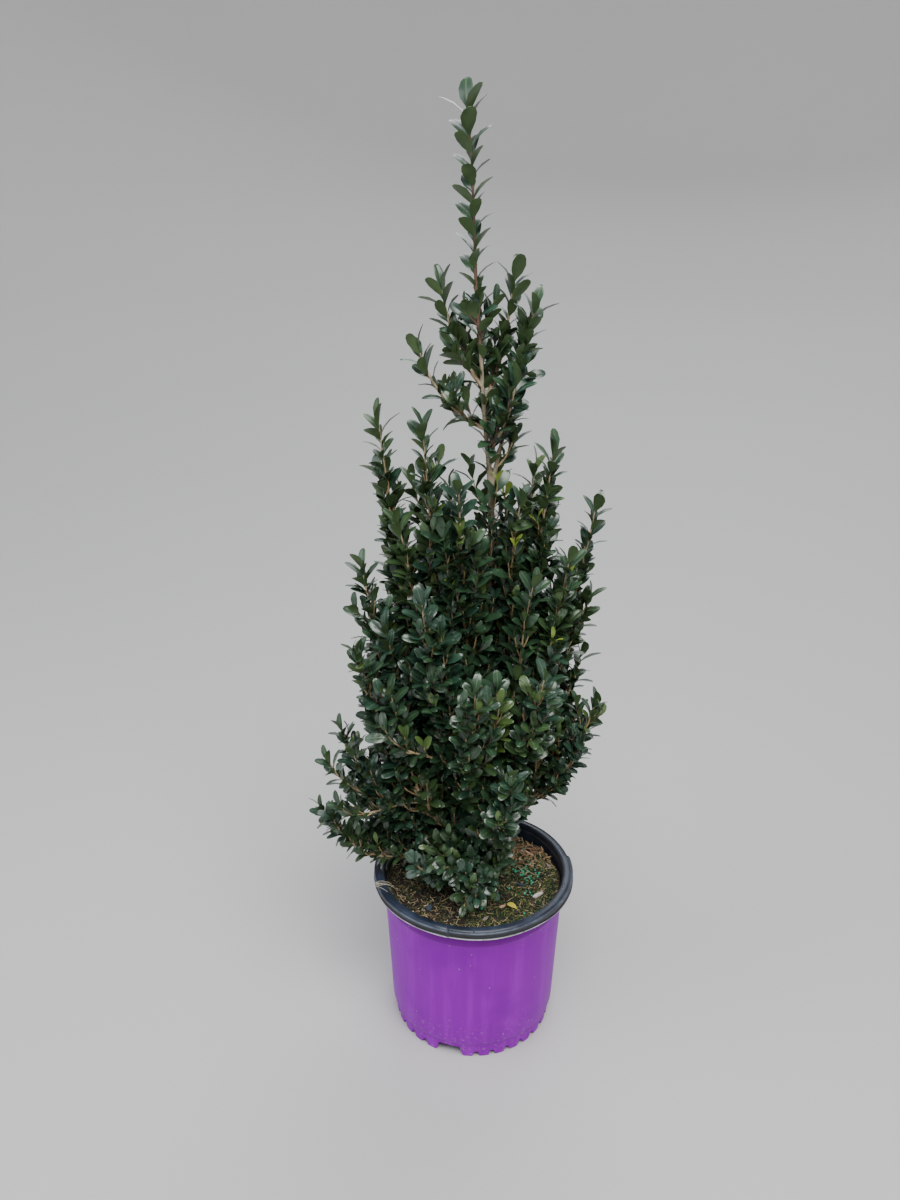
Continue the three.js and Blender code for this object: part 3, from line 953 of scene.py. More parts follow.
@dataclass
class Crown:
    """The twigs and leaves of every mass, grown on from the solids' stems.

    A companion's rule is how far it turns aside, and its reach and height as shares of its shoot's. A
    lesser shoot has its shoot's name, where on that shoot it leaves, and its tip. The numbers of items
    keep the chances of one kind of twig apart from those of another.
    """

    plant: Plant
    twig_every: float = 11.0
    twiglet_every: float = 12.0
    bough_twig_every: float = 11.0
    spur_every: float = 6.5
    foot_sprigs: int = 34
    shortest: float = 11.0
    leaf_every: float = 6.0
    stem_gap: float = 0.92
    low_leaf: float = 18.8
    high_leaf: float = 25.0
    leaf_sizes: tuple = ((1.04, 1.14, 1.16, 1.08, 0.92), (0.76, 0.94, 1.02, 1.0, 0.92))
    spread: float = 31.0
    bough_twig_spread: float = 38.0
    twiglet_spread: float = 40.0
    bare_trunk: tuple = (648.0, 682.0)
    trunk_start: float = 189.0
    girths: tuple = ((200, 60), (300, 150), (480, 150), (620, 120), (700, 84), (740, 0))
    inner: float = 0.5
    companion_rule: tuple = (
        (-1.0, 0.70, 0.92), (1.0, 0.86, 0.80), (-0.3, 0.94, 0.62), (0.4, 0.60, 0.86), (-0.5, 0.50, 0.72),
    )
    lesser: tuple = (
        ("left_front_low", 0.18, (-160, -38, 368)), ("left_front_low", 0.3, (-148, -50, 318)),
        ("left_low", 0.2, (-150, -6, 330)), ("left_skirt", 0.12, (-162, -14, 276)),
        ("left_low", 0.1, (-134, -30, 372)), ("front_left_middle", 0.2, (-96, -74, 430)),
    )
    trunk_twigs: tuple = (46.0, 20.0)
    bough_twig: float = 46.0
    lesser_twig: float = 38.0
    twiglet: float = 24.0
    foot_fan: tuple = (-178.0, 116.0)
    foot_front: tuple = (-98.0, 18.0)
    growth: tuple = (200.0, 620.0)
    leans: tuple = (10, 22, 33, 50)
    leader_leaf: tuple = (1.14, 0.88)
    roll: float = 36.0
    light: tuple = (0.40, 0.60)
    lesser_items: int = 60
    bough_items: int = 500
    foot_items: int = 700
    beside_items: int = 900
    twigs: list[Twig] = field(default_factory=list)
    leaves: list[Leaf] = field(default_factory=list)

    def grow(self) -> None:
        """Grows all twigs and then all leaves, and drops the leaves that have no room."""
        plant = self.plant
        for shoot in plant.shoots:
            self.grow_stem(shoot)
            if shoot.bough:
                self.grow_on_bough(shoot)
            for item in range(shoot.tier.companions):
                self.grow_companion(shoot, item)
        for item, (name, start, tip) in enumerate(self.lesser):
            self.grow_lesser(plant.shoot(name), self.lesser_items + item, start, 0.0, np.array(tip, float))
        self.grow_at_foot()
        self.grow_spurs()
        top = plant.trunk.stretch((self.bare_trunk[1] - self.trunk_start) / plant.trunk.length, 1.0)
        self.twigs.append(Twig(top, 0.9, 0.9, 0.0, len(plant.shoots), 1, Tint.DEEP))
        for number, twig in enumerate(self.twigs):
            self.add_leaves(twig, number)
        self.drop_crowded()
        log.info("crown: %d twigs, %d leaves", len(self.twigs), len(self.leaves))

    def spread_from(self, axis: np.ndarray, turn: float, spread: float) -> tuple[np.ndarray, np.ndarray]:
        """A direction that stands out from an axis, and the upper face of what points that way.

        Args:
            axis: The axis, at length 1.
            turn: The turn about it, in radians.
            spread: The angle between both, in radians.

        Returns:
            The direction and the upper face.
        """
        radial = turned_about(unit(np.cross(axis, ACROSS)), axis, turn)
        direction = axis * math.cos(spread) + radial * math.sin(spread)
        return direction, axis * math.sin(spread) - radial * math.cos(spread)

    def branch(self, parent: Path, share: float, turn: float, spread: float, length: float) -> Path:
        """A twig's line: it leaves its parent at an angle in degrees and turns up.

        Args:
            parent: The line that it leaves.
            share: Where on the parent it leaves.
            turn: The turn about the parent, in radians.
            spread: The angle to the parent, in degrees.
            length: Its rough length.

        Returns:
            The twig's line.
        """
        direction, _ = self.spread_from(parent.along(share), turn, math.radians(spread))
        root = parent.at(share)
        knee = root + direction * length * 0.42
        return Path.bezier((root, knee, root + direction * length * 0.64 + UP * length * 0.46), 6)

    def tint_for(self, shoot: int, item: int) -> Tint:
        """The green that one spray is dealt.

        Args:
            shoot: The shoot's number.
            item: The spray's number on it.

        Returns:
            The tint.
        """
        draw = chance(shoot, item, 11)
        shares = ((0.54, Tint.DEEP), (0.86, Tint.BLUE), (0.985, Tint.OLIVE), (1.0, Tint.FRESH))
        return next(tint for share, tint in shares if draw <= share)

    def within(self, path: Path, shoot: Shoot) -> bool:
        """Whether a twig's end stays about within its shoot's reach of the pot's axis."""
        return bool(np.hypot(*path.points[-1, :2]) < shoot.reach + shoot.tier.past_reach)

    def fits(self, path: Path, shoot: Shoot) -> bool:
        """Whether a twig is clear of soil, rim and trunk and stays within its shoot's reach."""
        return bool(self.plant.clear(path.points[2:]).all()) and self.within(path, shoot)

    def grow_stem(self, shoot: Shoot) -> None:
        """Grows a shoot's stem and the twigs on both sides of it, each in the first turn that has room.

        Args:
            shoot: The shoot.
        """
        stem, tier, number = shoot.stem, shoot.tier, shoot.number
        low = shoot.radius_at(tier.bare)
        self.twigs.append(Twig(stem, low, 0.75, 0.03, number, 0, self.tint_for(number, 0)))
        share_end = tier.twig_share + (0.14 if shoot.bough else -0.1)
        count = max(2, round(stem.length * share_end / self.twig_every))
        for i in range(count):
            share = 0.02 + share_end * (i + 0.5 * chance(number, i, 3)) / count
            spread = self.spread + 18 * (chance(number, i, 5) - 0.5)
            fade = 1 - 0.78 * min(1.0, share / share_end)
            length = tier.twig_length * tier.side_length * fade * (0.80 + 0.5 * chance(number, i, 6))
            length = max(self.shortest, length)
            for attempt in range(6):
                turn = GOLDEN_ANGLE * (i + attempt) + 2 * math.pi * chance(number, 0, 4)
                path = self.branch(stem, share, turn, spread, length)
                if self.plant.room(path.points[2:], number, 7.0).all() and self.within(path, shoot):
                    self.add_side_twig(path, shoot, i, length)
                    break

    def grow_companion(self, shoot: Shoot, item: int) -> None:
        """Grows one of the lesser shoots that rise beside a shoot from the same bough.

        Args:
            shoot: The shoot that it rises beside.
            item: Its number on that bough.
        """
        draw = lambda kind: chance(shoot.number, self.beside_items + item, kind)
        aside, reach, rise = self.companion_rule[item]
        start = 0.13 + 0.11 * item + 0.05 * draw(1)
        low, tip = shoot.path.at(start)[2], shoot.path.at(1.0)
        turn = math.radians(aside * (9 + 15 * draw(2)))
        reach, rise = reach + 0.10 * (draw(3) - 0.5), rise + 0.10 * (draw(4) - 0.5)
        height = low + (tip[2] - low) * rise * shoot.tier.companion_rise
        end = turned_about(tip * (1, 1, 0) * reach, UP, turn) + UP * height
        self.grow_lesser(shoot, item, start, turn, end)

    def grow_lesser(self, shoot: Shoot, item: int, start: float, turn: float, end: np.ndarray) -> None:
        """Grows a lesser shoot from a bough to a given tip, with its side twigs.

        Args:
            shoot: The shoot whose bough bears it.
            item: Its number on that bough.
            start: Where on the shoot it leaves.
            turn: How far it turns aside, in radians.
            end: Its tip.
        """
        number, root, key = shoot.number, shoot.path.at(start), self.beside_items + item
        span = np.linalg.norm(end - root)
        leaving = unit(turned_about(shoot.path.along(start), UP, turn * 1.5))
        arriving = unit(unit(end * (1, 1, 0)) * 0.25 + UP)
        path = Path.bezier((root, root + leaving * span * 0.3, end - arriving * span * 0.36, end), 10)
        if not self.plant.clear(path.points[3:]).all():
            return
        tint = self.tint_for(number, key)
        self.twigs.append(Twig(path, 1.9, 0.65, 0.16, number, 0, tint))
        count = round(span * 0.8 / self.twig_every)
        for i in range(count):
            draw = lambda kind: chance(number, self.beside_items + 10 + 20 * item + i, kind)
            share = 0.16 + 0.72 * (i + 0.5 * draw(3)) / count
            length = max(self.shortest, self.lesser_twig * (1.05 - 0.85 * share) * (0.7 + 0.6 * draw(6)))
            turn = 2 * math.pi * chance(number, key, 5) + GOLDEN_ANGLE * i
            side = self.branch(path, share, turn, self.spread, length)
            if self.fits(side, shoot):
                self.twigs.append(Twig(side, 0.95, 0.55, 0.16, number, 1, tint))

    def grow_on_bough(self, shoot: Shoot) -> None:
        """Grows the twigs that a bough bears before its mass begins.

        Args:
            shoot: The shoot whose bough it is.
        """
        bare, number, first = shoot.tier.bare, shoot.number, self.bough_items
        count = round(shoot.path.length * bare * 0.8 / self.bough_twig_every)
        for i in range(count):
            share = bare * (0.2 + 0.8 * (i + chance(number, first + i, 3)) / count)
            turn = GOLDEN_ANGLE * i + 2 * math.pi * chance(number, first, 4)
            length = self.bough_twig * (0.7 + 0.5 * chance(number, first + i, 6))
            path = self.branch(shoot.path, share, turn, self.bough_twig_spread, length)
            if self.fits(path, shoot):
                self.add_side_twig(path, shoot, first + i, length, 40.0)

    def grow_at_foot(self) -> None:
        """Grows the low sprigs that hang over the soil, longest and lowest at the front."""
        shoot, (first, fan), (middle, half) = self.plant.shoot("foot_left"), self.foot_fan, self.foot_front
        for i in range(self.foot_sprigs):
            draw = lambda kind: chance(shoot.number, i, kind)
            azimuth = math.radians(first + fan * (i + draw(21)) / self.foot_sprigs)
            front = max(0.0, 1 - abs(math.degrees(azimuth) - middle) / half)
            reach = 38 + (36 + 24 * front) * draw(22)
            height = 206 + (56 - 40 * front) * draw(23)
            tip = np.array([math.cos(azimuth) * reach, math.sin(azimuth) * reach, height])
            root = self.plant.trunk_at(196 + 44 * draw(24))
            path = Path.bezier((root, (root + tip) / 2 + UP * 9, tip), 6)
            if self.plant.clear(path.points[3:]).all():
                self.add_side_twig(path, shoot, self.foot_items + i, path.length, 60.0)

    def grow_spurs(self) -> None:
        """Grows the short leafy spurs of the trunk itself."""
        trunk, number, (low, high) = self.plant.trunk, len(self.plant.shoots), self.bare_trunk
        count = round(trunk.length * 0.86 / self.spur_every)
        for i in range(count):
            share = 0.08 + 0.86 * (i + chance(number, i, 3)) / count
            length = self.trunk_twigs[0 if trunk.at(share)[2] < low else 1]
            length *= 0.7 + 0.6 * chance(number, i, 6)
            path = self.branch(trunk, share, GOLDEN_ANGLE * i, self.twiglet_spread, length)
            if self.plant.clear(path.points[2:]).all() and not low < path.points[0, 2] < high:
                self.twigs.append(Twig(path, 0.95, 0.5, 0.22, number, 1, self.tint_for(number, i)))

    def add_side_twig(
        self, path: Path, shoot: Shoot, item: int, length: float, overlap: float = 9.0
    ) -> None:
        """Adds a side twig, and twiglets along it where it is long enough.

        Args:
            path: The twig's line.
            shoot: Its shoot.
            item: The twig's number on that shoot.
            length: The length that it was grown to.
            overlap: How far its twiglets may reach into the next mass.
        """
        number = shoot.number
        tint = self.tint_for(number, item + 1)
        self.twigs.append(Twig(path, 1.25, 0.62, 0.12, number, 1, tint))
        count = int(length * 0.8 / self.twiglet_every)
        for i in range(count):
            share = 0.2 + 0.62 * (i + chance(number, 40 * item + i, 7)) / max(1, count)
            short = self.twiglet * (0.6 + 0.6 * chance(number, 40 * item + i, 8))
            turn = GOLDEN_ANGLE * i + 2 * math.pi * chance(number, item, 9)
            twiglet = self.branch(path, share, turn, self.twiglet_spread, short)
            if self.plant.room(twiglet.points[1:], number, overlap).all() and self.within(twiglet, shoot):
                self.twigs.append(Twig(twiglet, 0.8, 0.48, 0.25, number, 2, tint))

    def add_leaves(self, twig: Twig, number: int) -> None:
        """Sets the leaves of one twig, turned by the golden angle and closing up at its tip.

        Args:
            twig: The twig.
            number: Its number among all twigs.
        """
        path, shoot, stem, (low, span) = twig.path, twig.shoot, twig.order == 0, self.growth
        leader = stem and shoot == len(self.plant.shoots) - 1
        every = self.leaf_every * (self.stem_gap if stem else 1.0)
        closing = 0.68 if stem and not leader else 0.94
        count = max(3, round(path.length * (1 - twig.leaves_from) / every) + 1)
        young = chance(shoot, number, 15)
        for i in range(count):
            draw = lambda kind: chance(shoot, number + i, kind)
            share = twig.leaves_from + (1 - twig.leaves_from) * (i / (count - 1)) ** closing
            root, axis, to_tip = path.at(share), path.along(share), count - 1 - i
            rise = min(1.0, max(0.0, (root[2] - low) / span))
            lean = np.interp(to_tip, [0, 1, 2, 4], [*self.leans[:3], self.leans[3] - 12 * rise])
            lean += 14 * (chance(shoot, number, i) - 0.5)
            length = self.low_leaf + (self.high_leaf - self.low_leaf) * rise**1.2
            length *= np.interp(to_tip, [0, 1, 2, 5, 9], self.leaf_sizes[min(1, twig.order)])
            length *= 0.84 + 0.32 * draw(12)
            if leader:
                length, lean = length * self.leader_leaf[0], lean * self.leader_leaf[1]
            turn = GOLDEN_ANGLE * i + 2 * math.pi * chance(shoot, number, 13)
            direction, face = self.spread_from(axis, turn, math.radians(lean))
            roll = math.radians(self.roll) * (chance(shoot, 3 * number + i, 16) - 0.5)
            face = turned_about(self.lit_face(root, direction, face), direction, roll)
            tint = twig.tint
            if to_tip < 2 and young < 0.06 + 0.12 * rise and not stem:
                tint = Tint.LIME if young < 0.012 else Tint.FRESH
            cut = 0 if draw(14) < 0.4 else 1 if draw(17) < rise else 2
            if np.hypot(*root[:2]) < self.inner * np.interp(root[2], *zip(*self.girths)):
                cut = 3
            elif leader:
                cut = 2
            self.leaves.append(Leaf(root, direction, face, length, tint, cut))

    def lit_face(self, root: np.ndarray, direction: np.ndarray, face: np.ndarray) -> np.ndarray:
        """Turns a leaf's upper face partly up and outwards, to the light."""
        wanted = face + self.light[0] * UP + self.light[1] * unit(root * (1, 1, 0))
        return unit(wanted - direction * np.dot(wanted, direction))

    def drop_crowded(self) -> None:
        """Drops the leaves that meet soil, rim or trunk."""
        ends, middles = (
            np.array([leaf.root + leaf.way * leaf.length * share for leaf in self.leaves])
            for share in (1.0, 0.55)
        )
        keep = self.plant.clear(ends) & self.plant.clear(middles)
        self.leaves = [leaf for leaf, good in zip(self.leaves, keep) if good]
        log.info("crown: %d leaves dropped of %d", len(keep) - len(self.leaves), len(keep))


@dataclass
class Foliage:
    """The meshes of leaves and twigs."""

    crown: Crown
    cuts: tuple = (
        LeafCut(),
        LeafCut(fold=0.16, droop=0.08, half_width=(0.018, 0.048, 0.150, 0.194, 0.140, 0.058)),
        LeafCut(fold=0.03, droop=0.20, half_width=(0.018, 0.068, 0.208, 0.252, 0.184, 0.080)),
        LeafCut((0.0, 0.2, 0.55, 0.88, 1.0), (0.018, 0.105, 0.224, 0.160, 0.052), (-1.0, 0.0, 1.0), 0.2, 0.0),
    )
    limit: int = 190_000
    rib_skin: int = 5
    under_skin: int = 6
    new_wood_skin: int = 2
    new_wood_from: tuple = (790.0, 700.0)
    twig_rings: tuple = (18, 6, 4)
    twig_sides: tuple = (9, 6, 5)

    def build(self) -> list[bpy.types.Object]:
        """Makes the pieces of leaves and the piece of twigs.

        Returns:
            All of them, dressed.
        """
        finishes = self.finishes()
        leaves = sorted(self.crown.leaves, key=lambda leaf: leaf.root[2])
        meshes = [cut.mesh() for cut in self.cuts]
        sizes = [sum(len(face) - 2 for face in mesh[1]) for mesh in meshes]
        loads = np.cumsum([sizes[leaf.cut] for leaf in leaves])
        parts = math.ceil(loads[-1] / self.limit)
        shares = np.minimum(loads * parts // (loads[-1] + 1), parts - 1)
        nodes = [f"foliage_{shoot.name}" for shoot in self.crown.plant.shoots]
        pieces = []
        for number in range(parts):
            chosen = [leaf for leaf, share in zip(leaves, shares) if share == number]
            piece = self.leaf_piece(f"leaves_{number + 1}", chosen, meshes, finishes)
            dress(piece, Slot.FOLIAGE)
            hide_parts(*nodes)
            log.info("%s: %d leaves, %d faces", piece.name, len(chosen), len(piece.data.polygons))
            pieces.append(piece)
        pieces.append(self.twig_piece(nodes))
        return pieces

    def finishes(self) -> list[bpy.types.Material]:
        """The leaf materials: the blades in the order of Tint, then the rib and the underside.

        Returns:
            The materials, in the order of the numbers that the leaves' faces carry.
        """
        skins = (
            LeafSkin("leaf_deep", (0.030, 0.073, 0.034), (0.015, 0.040, 0.020), 0.32, 0.44),
            LeafSkin("leaf_blue", (0.027, 0.072, 0.044), (0.014, 0.040, 0.025), 0.30, 0.50),
            LeafSkin("leaf_olive", (0.043, 0.089, 0.030), (0.023, 0.053, 0.019), 0.33, 0.40),
            LeafSkin("leaf_fresh", (0.085, 0.145, 0.030), (0.048, 0.094, 0.024), 0.34, 0.5),
            LeafSkin("leaf_lime", (0.30, 0.41, 0.055), (0.19, 0.28, 0.045), 0.42, 0.15),
            LeafSkin("leaf_rib", (0.10, 0.155, 0.080), (0.055, 0.095, 0.052), 0.42),
            LeafSkin("leaf_under", (0.070, 0.120, 0.040), (0.044, 0.080, 0.030), 0.44),
        )
        return [skin.make() for skin in skins]

    def leaf_piece(
        self, name: str, leaves: list[Leaf], meshes: list, materials: list
    ) -> bpy.types.Object:
        """Joins leaves into one piece.

        Args:
            name: The piece's name.
            leaves: The leaves.
            meshes: The mesh of each cut.
            materials: The leaf materials.

        Returns:
            The piece.
        """
        vertices, faces, material_of, count = [], [], [], 0
        for number, (shape, shape_faces, sides) in enumerate(meshes):
            chosen = [leaf for leaf in leaves if leaf.cut == number]
            if not chosen:
                continue
            roots, ways = np.array([leaf.root for leaf in chosen]), np.array([leaf.way for leaf in chosen])
            ups = np.array([leaf.face for leaf in chosen])
            sizes = np.array([leaf.length for leaf in chosen])[:, None, None]
            axes = np.stack([np.cross(ways, ups), ways, ups], axis=1)
            placed = roots[:, None, :] + np.einsum("vk,nkj->nvj", shape, axes) * sizes
            vertices.append(placed.reshape(-1, 3) * MM)
            for i, leaf in enumerate(chosen):
                base, blade = count + i * len(shape), leaf.tint.value
                faces += [[base + v for v in face] for face in shape_faces]
                plain = leaf.tint is Tint.LIME
                skins = (blade,) * 3 if plain else (blade, self.rib_skin, self.under_skin)
                material_of += [skins[side] for side in sides]
            count += len(chosen) * len(shape)
        return piece_from(name, np.concatenate(vertices), faces, materials, np.array(material_of), 70.0)

    def twig_piece(self, nodes: Sequence[str]) -> bpy.types.Object:
        """Joins all stems, side twigs and twiglets into one piece.

        Args:
            nodes: The solids that the twigs stand in for.

        Returns:
            The piece.
        """
        tubes = Tubes()
        for twig in self.crown.twigs:
            rings = np.linspace(0.0, 1.0, self.twig_rings[twig.order])
            young = twig.path.points[0, 2] > self.new_wood_from[min(1, twig.order)]
            skin = self.new_wood_skin if young else twig.order
            tubes.add(twig.path, twig.radius_at, self.twig_sides[twig.order], rings, skin)
        materials = [
            TwigSkin("stem_bark", (0.43, 0.33, 0.20), (0.26, 0.19, 0.115)).make(),
            TwigSkin("twig_bark", (0.47, 0.34, 0.165), (0.30, 0.205, 0.10)).make(),
            TwigSkin("new_wood", (0.135, 0.075, 0.050), (0.070, 0.036, 0.028)).make(),
        ]
        piece = tubes.piece("twigs", materials)
        dress(piece, Slot.BARK)
        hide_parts(*nodes)
        return piece


@dataclass
class Timber:
    """The trunk and the boughs, with the relief of their bark."""

    plant: Plant
    sides: int = 26
    bough_sides: int = 14
    trunk_rings: tuple = (12, 130)
    bough_rings: int = 22
    slender_from: tuple = (486.0, 508.0)
    slender: float = 0.84
    collar: float = 0.9
    collar_reach: float = 12.0

    def build(self) -> list[bpy.types.Object]:
        """Makes the trunk and the boughs.

        Returns:
            Both pieces, dressed.
        """
        bark = Bark("trunk_bark", (0.36, 0.30, 0.205), (0.58, 0.51, 0.39), (0.20, 0.16, 0.105)).make()
        trunk = Tubes()
        low, high = self.trunk_rings
        rings = np.concatenate([np.linspace(0, 0.05, low, endpoint=False), np.linspace(0.05, 1, high)])
        trunk.add(self.plant.trunk, self.trunk_relief, self.sides, rings, flat_foot=True)
        trunk_piece = trunk.piece("trunk_with_bark", [bark])
        dress(trunk_piece, Slot.BARK)
        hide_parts("trunk")
        boughs = Tubes()
        names = []
        for shoot in self.plant.shoots:
            if shoot.bough:
                self.add_bough(boughs, shoot)
                names.append(f"bough_{shoot.name}")
        bough_piece = boughs.piece("boughs_with_bark", [bark])
        dress(bough_piece, Slot.BARK)
        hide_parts(*names)
        return [trunk_piece, bough_piece]

    def trunk_relief(self, share: float, turn: float) -> float:
        """The trunk's radius with the ridges of its bark, more slender in its upper part.

        Args:
            share: The share of the trunk's length.
            turn: The turn round it, in radians.

        Returns:
            The radius in millimetres.
        """
        height = share * self.plant.trunk.length
        radius = self.plant.trunk_radius(share, turn)
        point = Vector((math.cos(turn) * 1.3, math.sin(turn) * 1.3, height * 0.035))
        ridges = noise.noise(point * 2.4) * 0.35 + noise.noise(point * 6.0) * 0.16
        slender = np.interp(height, self.slender_from, (1.0, self.slender))
        return slender * radius * (0.97 + 0.10 * ridges) + 0.15 * noise.noise(point * 1.1)

    def add_bough(self, boughs: Tubes, shoot: Shoot) -> None:
        """Adds one bough, with a collar where it leaves the trunk.

        Args:
            boughs: The limbs that it joins.
            shoot: The shoot whose bough it is.
        """
        bare = shoot.tier.bare
        path = shoot.path.stretch(0.0, bare + 0.015)

        def relief(share: float, turn: float) -> float:
            """The bough's radius with its ridges, at a share of its length and a turn round it."""
            way = share * path.length
            point = Vector((math.cos(turn), math.sin(turn), way * 0.05 + shoot.number * 3.1))
            collar = self.collar * math.exp(-((way / self.collar_reach) ** 2))
            return shoot.radius_at(share * bare) * (0.96 + 0.09 * noise.noise(point * 3.0)) + collar

        boughs.add(path, relief, self.bough_sides, np.linspace(0, 1, self.bough_rings))


# The pot and what is in it


@dataclass
class Pot:
    """The moulded pot: its purple wall with a notched foot, and its black rolled rim.

    The beads are points of the rim's profile, by how far inside its outer edge and how far below its
    top they lie, in millimetres.
    """

    steps: int = 432
    foot: float = 0.0945
    step_radius: float = 0.0988
    step_height: float = 0.024
    body: float = 0.1058
    shoulder: float = 0.1072
    shoulder_height: float = 0.174
    wall_top: float = 0.191
    height: float = 0.202
    rim_radius: float = 0.1185
    rim_inside: float = 0.1062
    wall: float = 0.0016
    floor: float = 0.0165
    foot_ring: float = 0.0034
    notched: float = 0.020
    drains: int = 3
    first_drain: float = 252.0
    drain_height: float = 0.0128
    drain_edges: tuple = (10.4, 7.6)
    teeth: int = 8
    first_tooth: float = 19.7
    tooth_pitch: float = 11.51
    tooth_height: float = 0.0068
    tooth_edges: tuple = (2.7, 1.2)
    inside_skin: int = 1
    rim_shadow_skin: int = 2
    rim_side: float = 0.0016
    rim_below: tuple = (0.0083, 0.0028)
    beads: tuple = (
        (3.4, 6.4), (2.4, 7.4), (2.0, 9.0), (0.4, 9.3), (-0.2, 9.1), (-0.3, 8.6), (0.1, 8.1), (0.9, 7.8),
        (1.0, 5.0), (0.7, 3.4), (0.3, 2.6), (0.3, 1.8), (0.9, 1.1), (1.8, 1.0), (2.5, 1.7), (3.2, 1.7),
        (4.0, 0.9), (5.8, 0.3), (7.8, 0.0), (9.8, 0.1),
    )
    wave: float = 0.0008
    tear_at: float = -105.0
    tear_span: float = 9.0
    tear_move: tuple = (0.0021, 0.0016)
    bend: tuple = (9.0, 120.0)
    bend_move: tuple = (0.0007, 0.0021)

    def build(self) -> list[bpy.types.Object]:
        """Makes the wall and the rim."""
        return [self.make_wall(), self.make_rim()]

    def make_wall(self) -> bpy.types.Object:
        """Turns the wall, notches its foot and dresses it.

        Returns:
            The wall.
        """
        foot, step, body, shoulder = self.foot, self.step_radius, self.body, self.shoulder
        ring, rise, crease, top = foot - self.foot_ring, self.step_height, self.shoulder_height, self.wall_top
        under, inner = self.floor - self.wall, self.wall
        profile = [
            (0.0, under), (foot - 0.0062, under), (ring - 0.0008, under - 0.0008),
            (ring - 0.0002, under - 0.0025), (ring, 0.006), (ring, 0.0004), (ring + 0.0005, 0.0),
            (foot - 0.0006, 0.0), (foot, 0.0006), (foot + 0.0002, 0.0045), (foot + 0.0005, 0.0085),
            (foot + 0.0009, 0.0130), (foot + 0.0012, rise - 0.006), (foot + 0.0022, rise - 0.0035),
            (step - 0.0005, rise - 0.001), (step, rise + 0.001), (step + 0.0014, 0.055),
            (step + 0.0037, 0.105), (body - 0.0006, crease - 0.016), (body, crease - 0.0032),
            (body + 0.0005, crease - 0.0018), (shoulder - 0.0002, crease), (shoulder, crease + 0.002),
            (shoulder, top - 0.0004), (shoulder - 0.0004, top), (shoulder - inner, top),
            (body - inner, crease - 0.004), (step - inner, rise + 0.002), (foot - inner, self.floor + 0.002),
            (foot - inner - 0.001, self.floor), (0.0, self.floor),
        ]
        wall = turned("pot_wall_moulded", profile, self.steps)
        self.notch_foot(wall)
        smooth(wall, 38.0)
        # Painted shadow: the band between the shoulder's crease and the rim is a darker purple, for the rim's
        # shadow.
        collar = WallPlastic("pot_collar_painted_shadow", (0.185, 0.003, 0.29), (0.225, 0.006, 0.35))
        dress(wall, Slot.WALL, WallPlastic().make(), RimPlastic("pot_inside_plastic").make(), collar.make())
        for face in wall.data.polygons:
            out = math.hypot(face.center.x, face.center.y)
            inward = face.normal.x * face.center.x + face.normal.y * face.center.y < -0.2 * out
            if (inward and face.center.z > self.floor) or face.center.z > top:
                face.material_index = self.inside_skin
            # Faces above the crease take the darker purple of the painted shadow.
            elif face.center.z > crease - 0.002:
                face.material_index = self.rim_shadow_skin
        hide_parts("pot_wall")
        return wall

    def notch_lift(self, angle: float) -> float:
        """How far the foot's lower edge stands above the ground at an angle in degrees.

        Args:
            angle: The angle from +X.

        Returns:
            The lift in metres.
        """

        def arch(off: float, edges: tuple[float, float], height: float) -> float:
            """The height of a rounded notch at an angle from its middle."""
            way = min(1.0, max(0.0, (edges[0] - off) / (edges[0] - edges[1])))
            return height * way * way * (3 - 2 * way)

        sector = 360 / self.drains
        off = (angle - self.first_drain) % sector
        lift = arch(min(off, sector - off), self.drain_edges, self.drain_height)
        nearest = round((off - self.first_tooth) / self.tooth_pitch)
        if 0 <= nearest < self.teeth:
            middle = self.first_tooth + nearest * self.tooth_pitch
            lift = max(lift, arch(abs(off - middle), self.tooth_edges, self.tooth_height))
        return lift

    def notch_foot(self, wall: bpy.types.Object) -> None:
        """Draws the foot ring's edge up into notches between its teeth, and into the wide drains.

        Args:
            wall: The wall as it was turned.
        """
        for vertex in wall.data.vertices:
            place = vertex.co
            if place.z > self.notched or math.hypot(place.x, place.y) < self.foot - self.foot_ring - 0.0001:
                continue
            lift = self.notch_lift(math.degrees(math.atan2(place.y, place.x)) % 360)
            place.z = lift + place.z * (1 - lift / self.notched)

    def make_rim(self) -> bpy.types.Object:
        """Turns the rim with its beads and its pale lower edge, then wears it.

        Returns:
            The rim.
        """
        top, out, inside, foot = self.height, self.rim_radius, self.rim_inside, self.wall_top + 0.0003
        profile = [
            (inside - 0.0009, foot), (self.shoulder, foot), (self.shoulder + 0.0005, foot + 0.003),
            (self.shoulder + 0.0012, top - 0.0058), *((out - x * MM, top - y * MM) for x, y in self.beads),
            (inside + 0.0010, top - 0.0007), (inside + 0.0002, top - 0.0020), (inside, top - 0.0045),
            (inside, foot + 0.0030), (inside - 0.0002, foot + 0.0020), (inside - 0.0009, foot + 0.0014),
            (inside - 0.0009, foot),
        ]
        rim = turned("rim_rolled", profile, self.steps)
        edge, side = self.rim_below
        for face in rim.data.polygons:
            if math.hypot(*face.center.xy) < out - self.rim_side:
                continue
            down = top - face.center.z
            # Outer faces take the pale lower edge (1), the side darkened as a painted reflection (2), or the
            # bead lightened as a painted highlight (3).
            face.material_index = 1 if down > edge else 2 if down > side else 3
        self.wear_rim(rim)
        smooth(rim, 50.0)
        numbers = [face.material_index for face in rim.data.polygons]
        finishes = [RimPlastic(name, *tones).make() for name, tones in self.rim_tones.items()]
        dress(rim, Slot.RIM, RimPlastic().make(), *finishes)
        rim.data.polygons.foreach_set("material_index", numbers)
        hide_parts("pot_rim")
        return rim

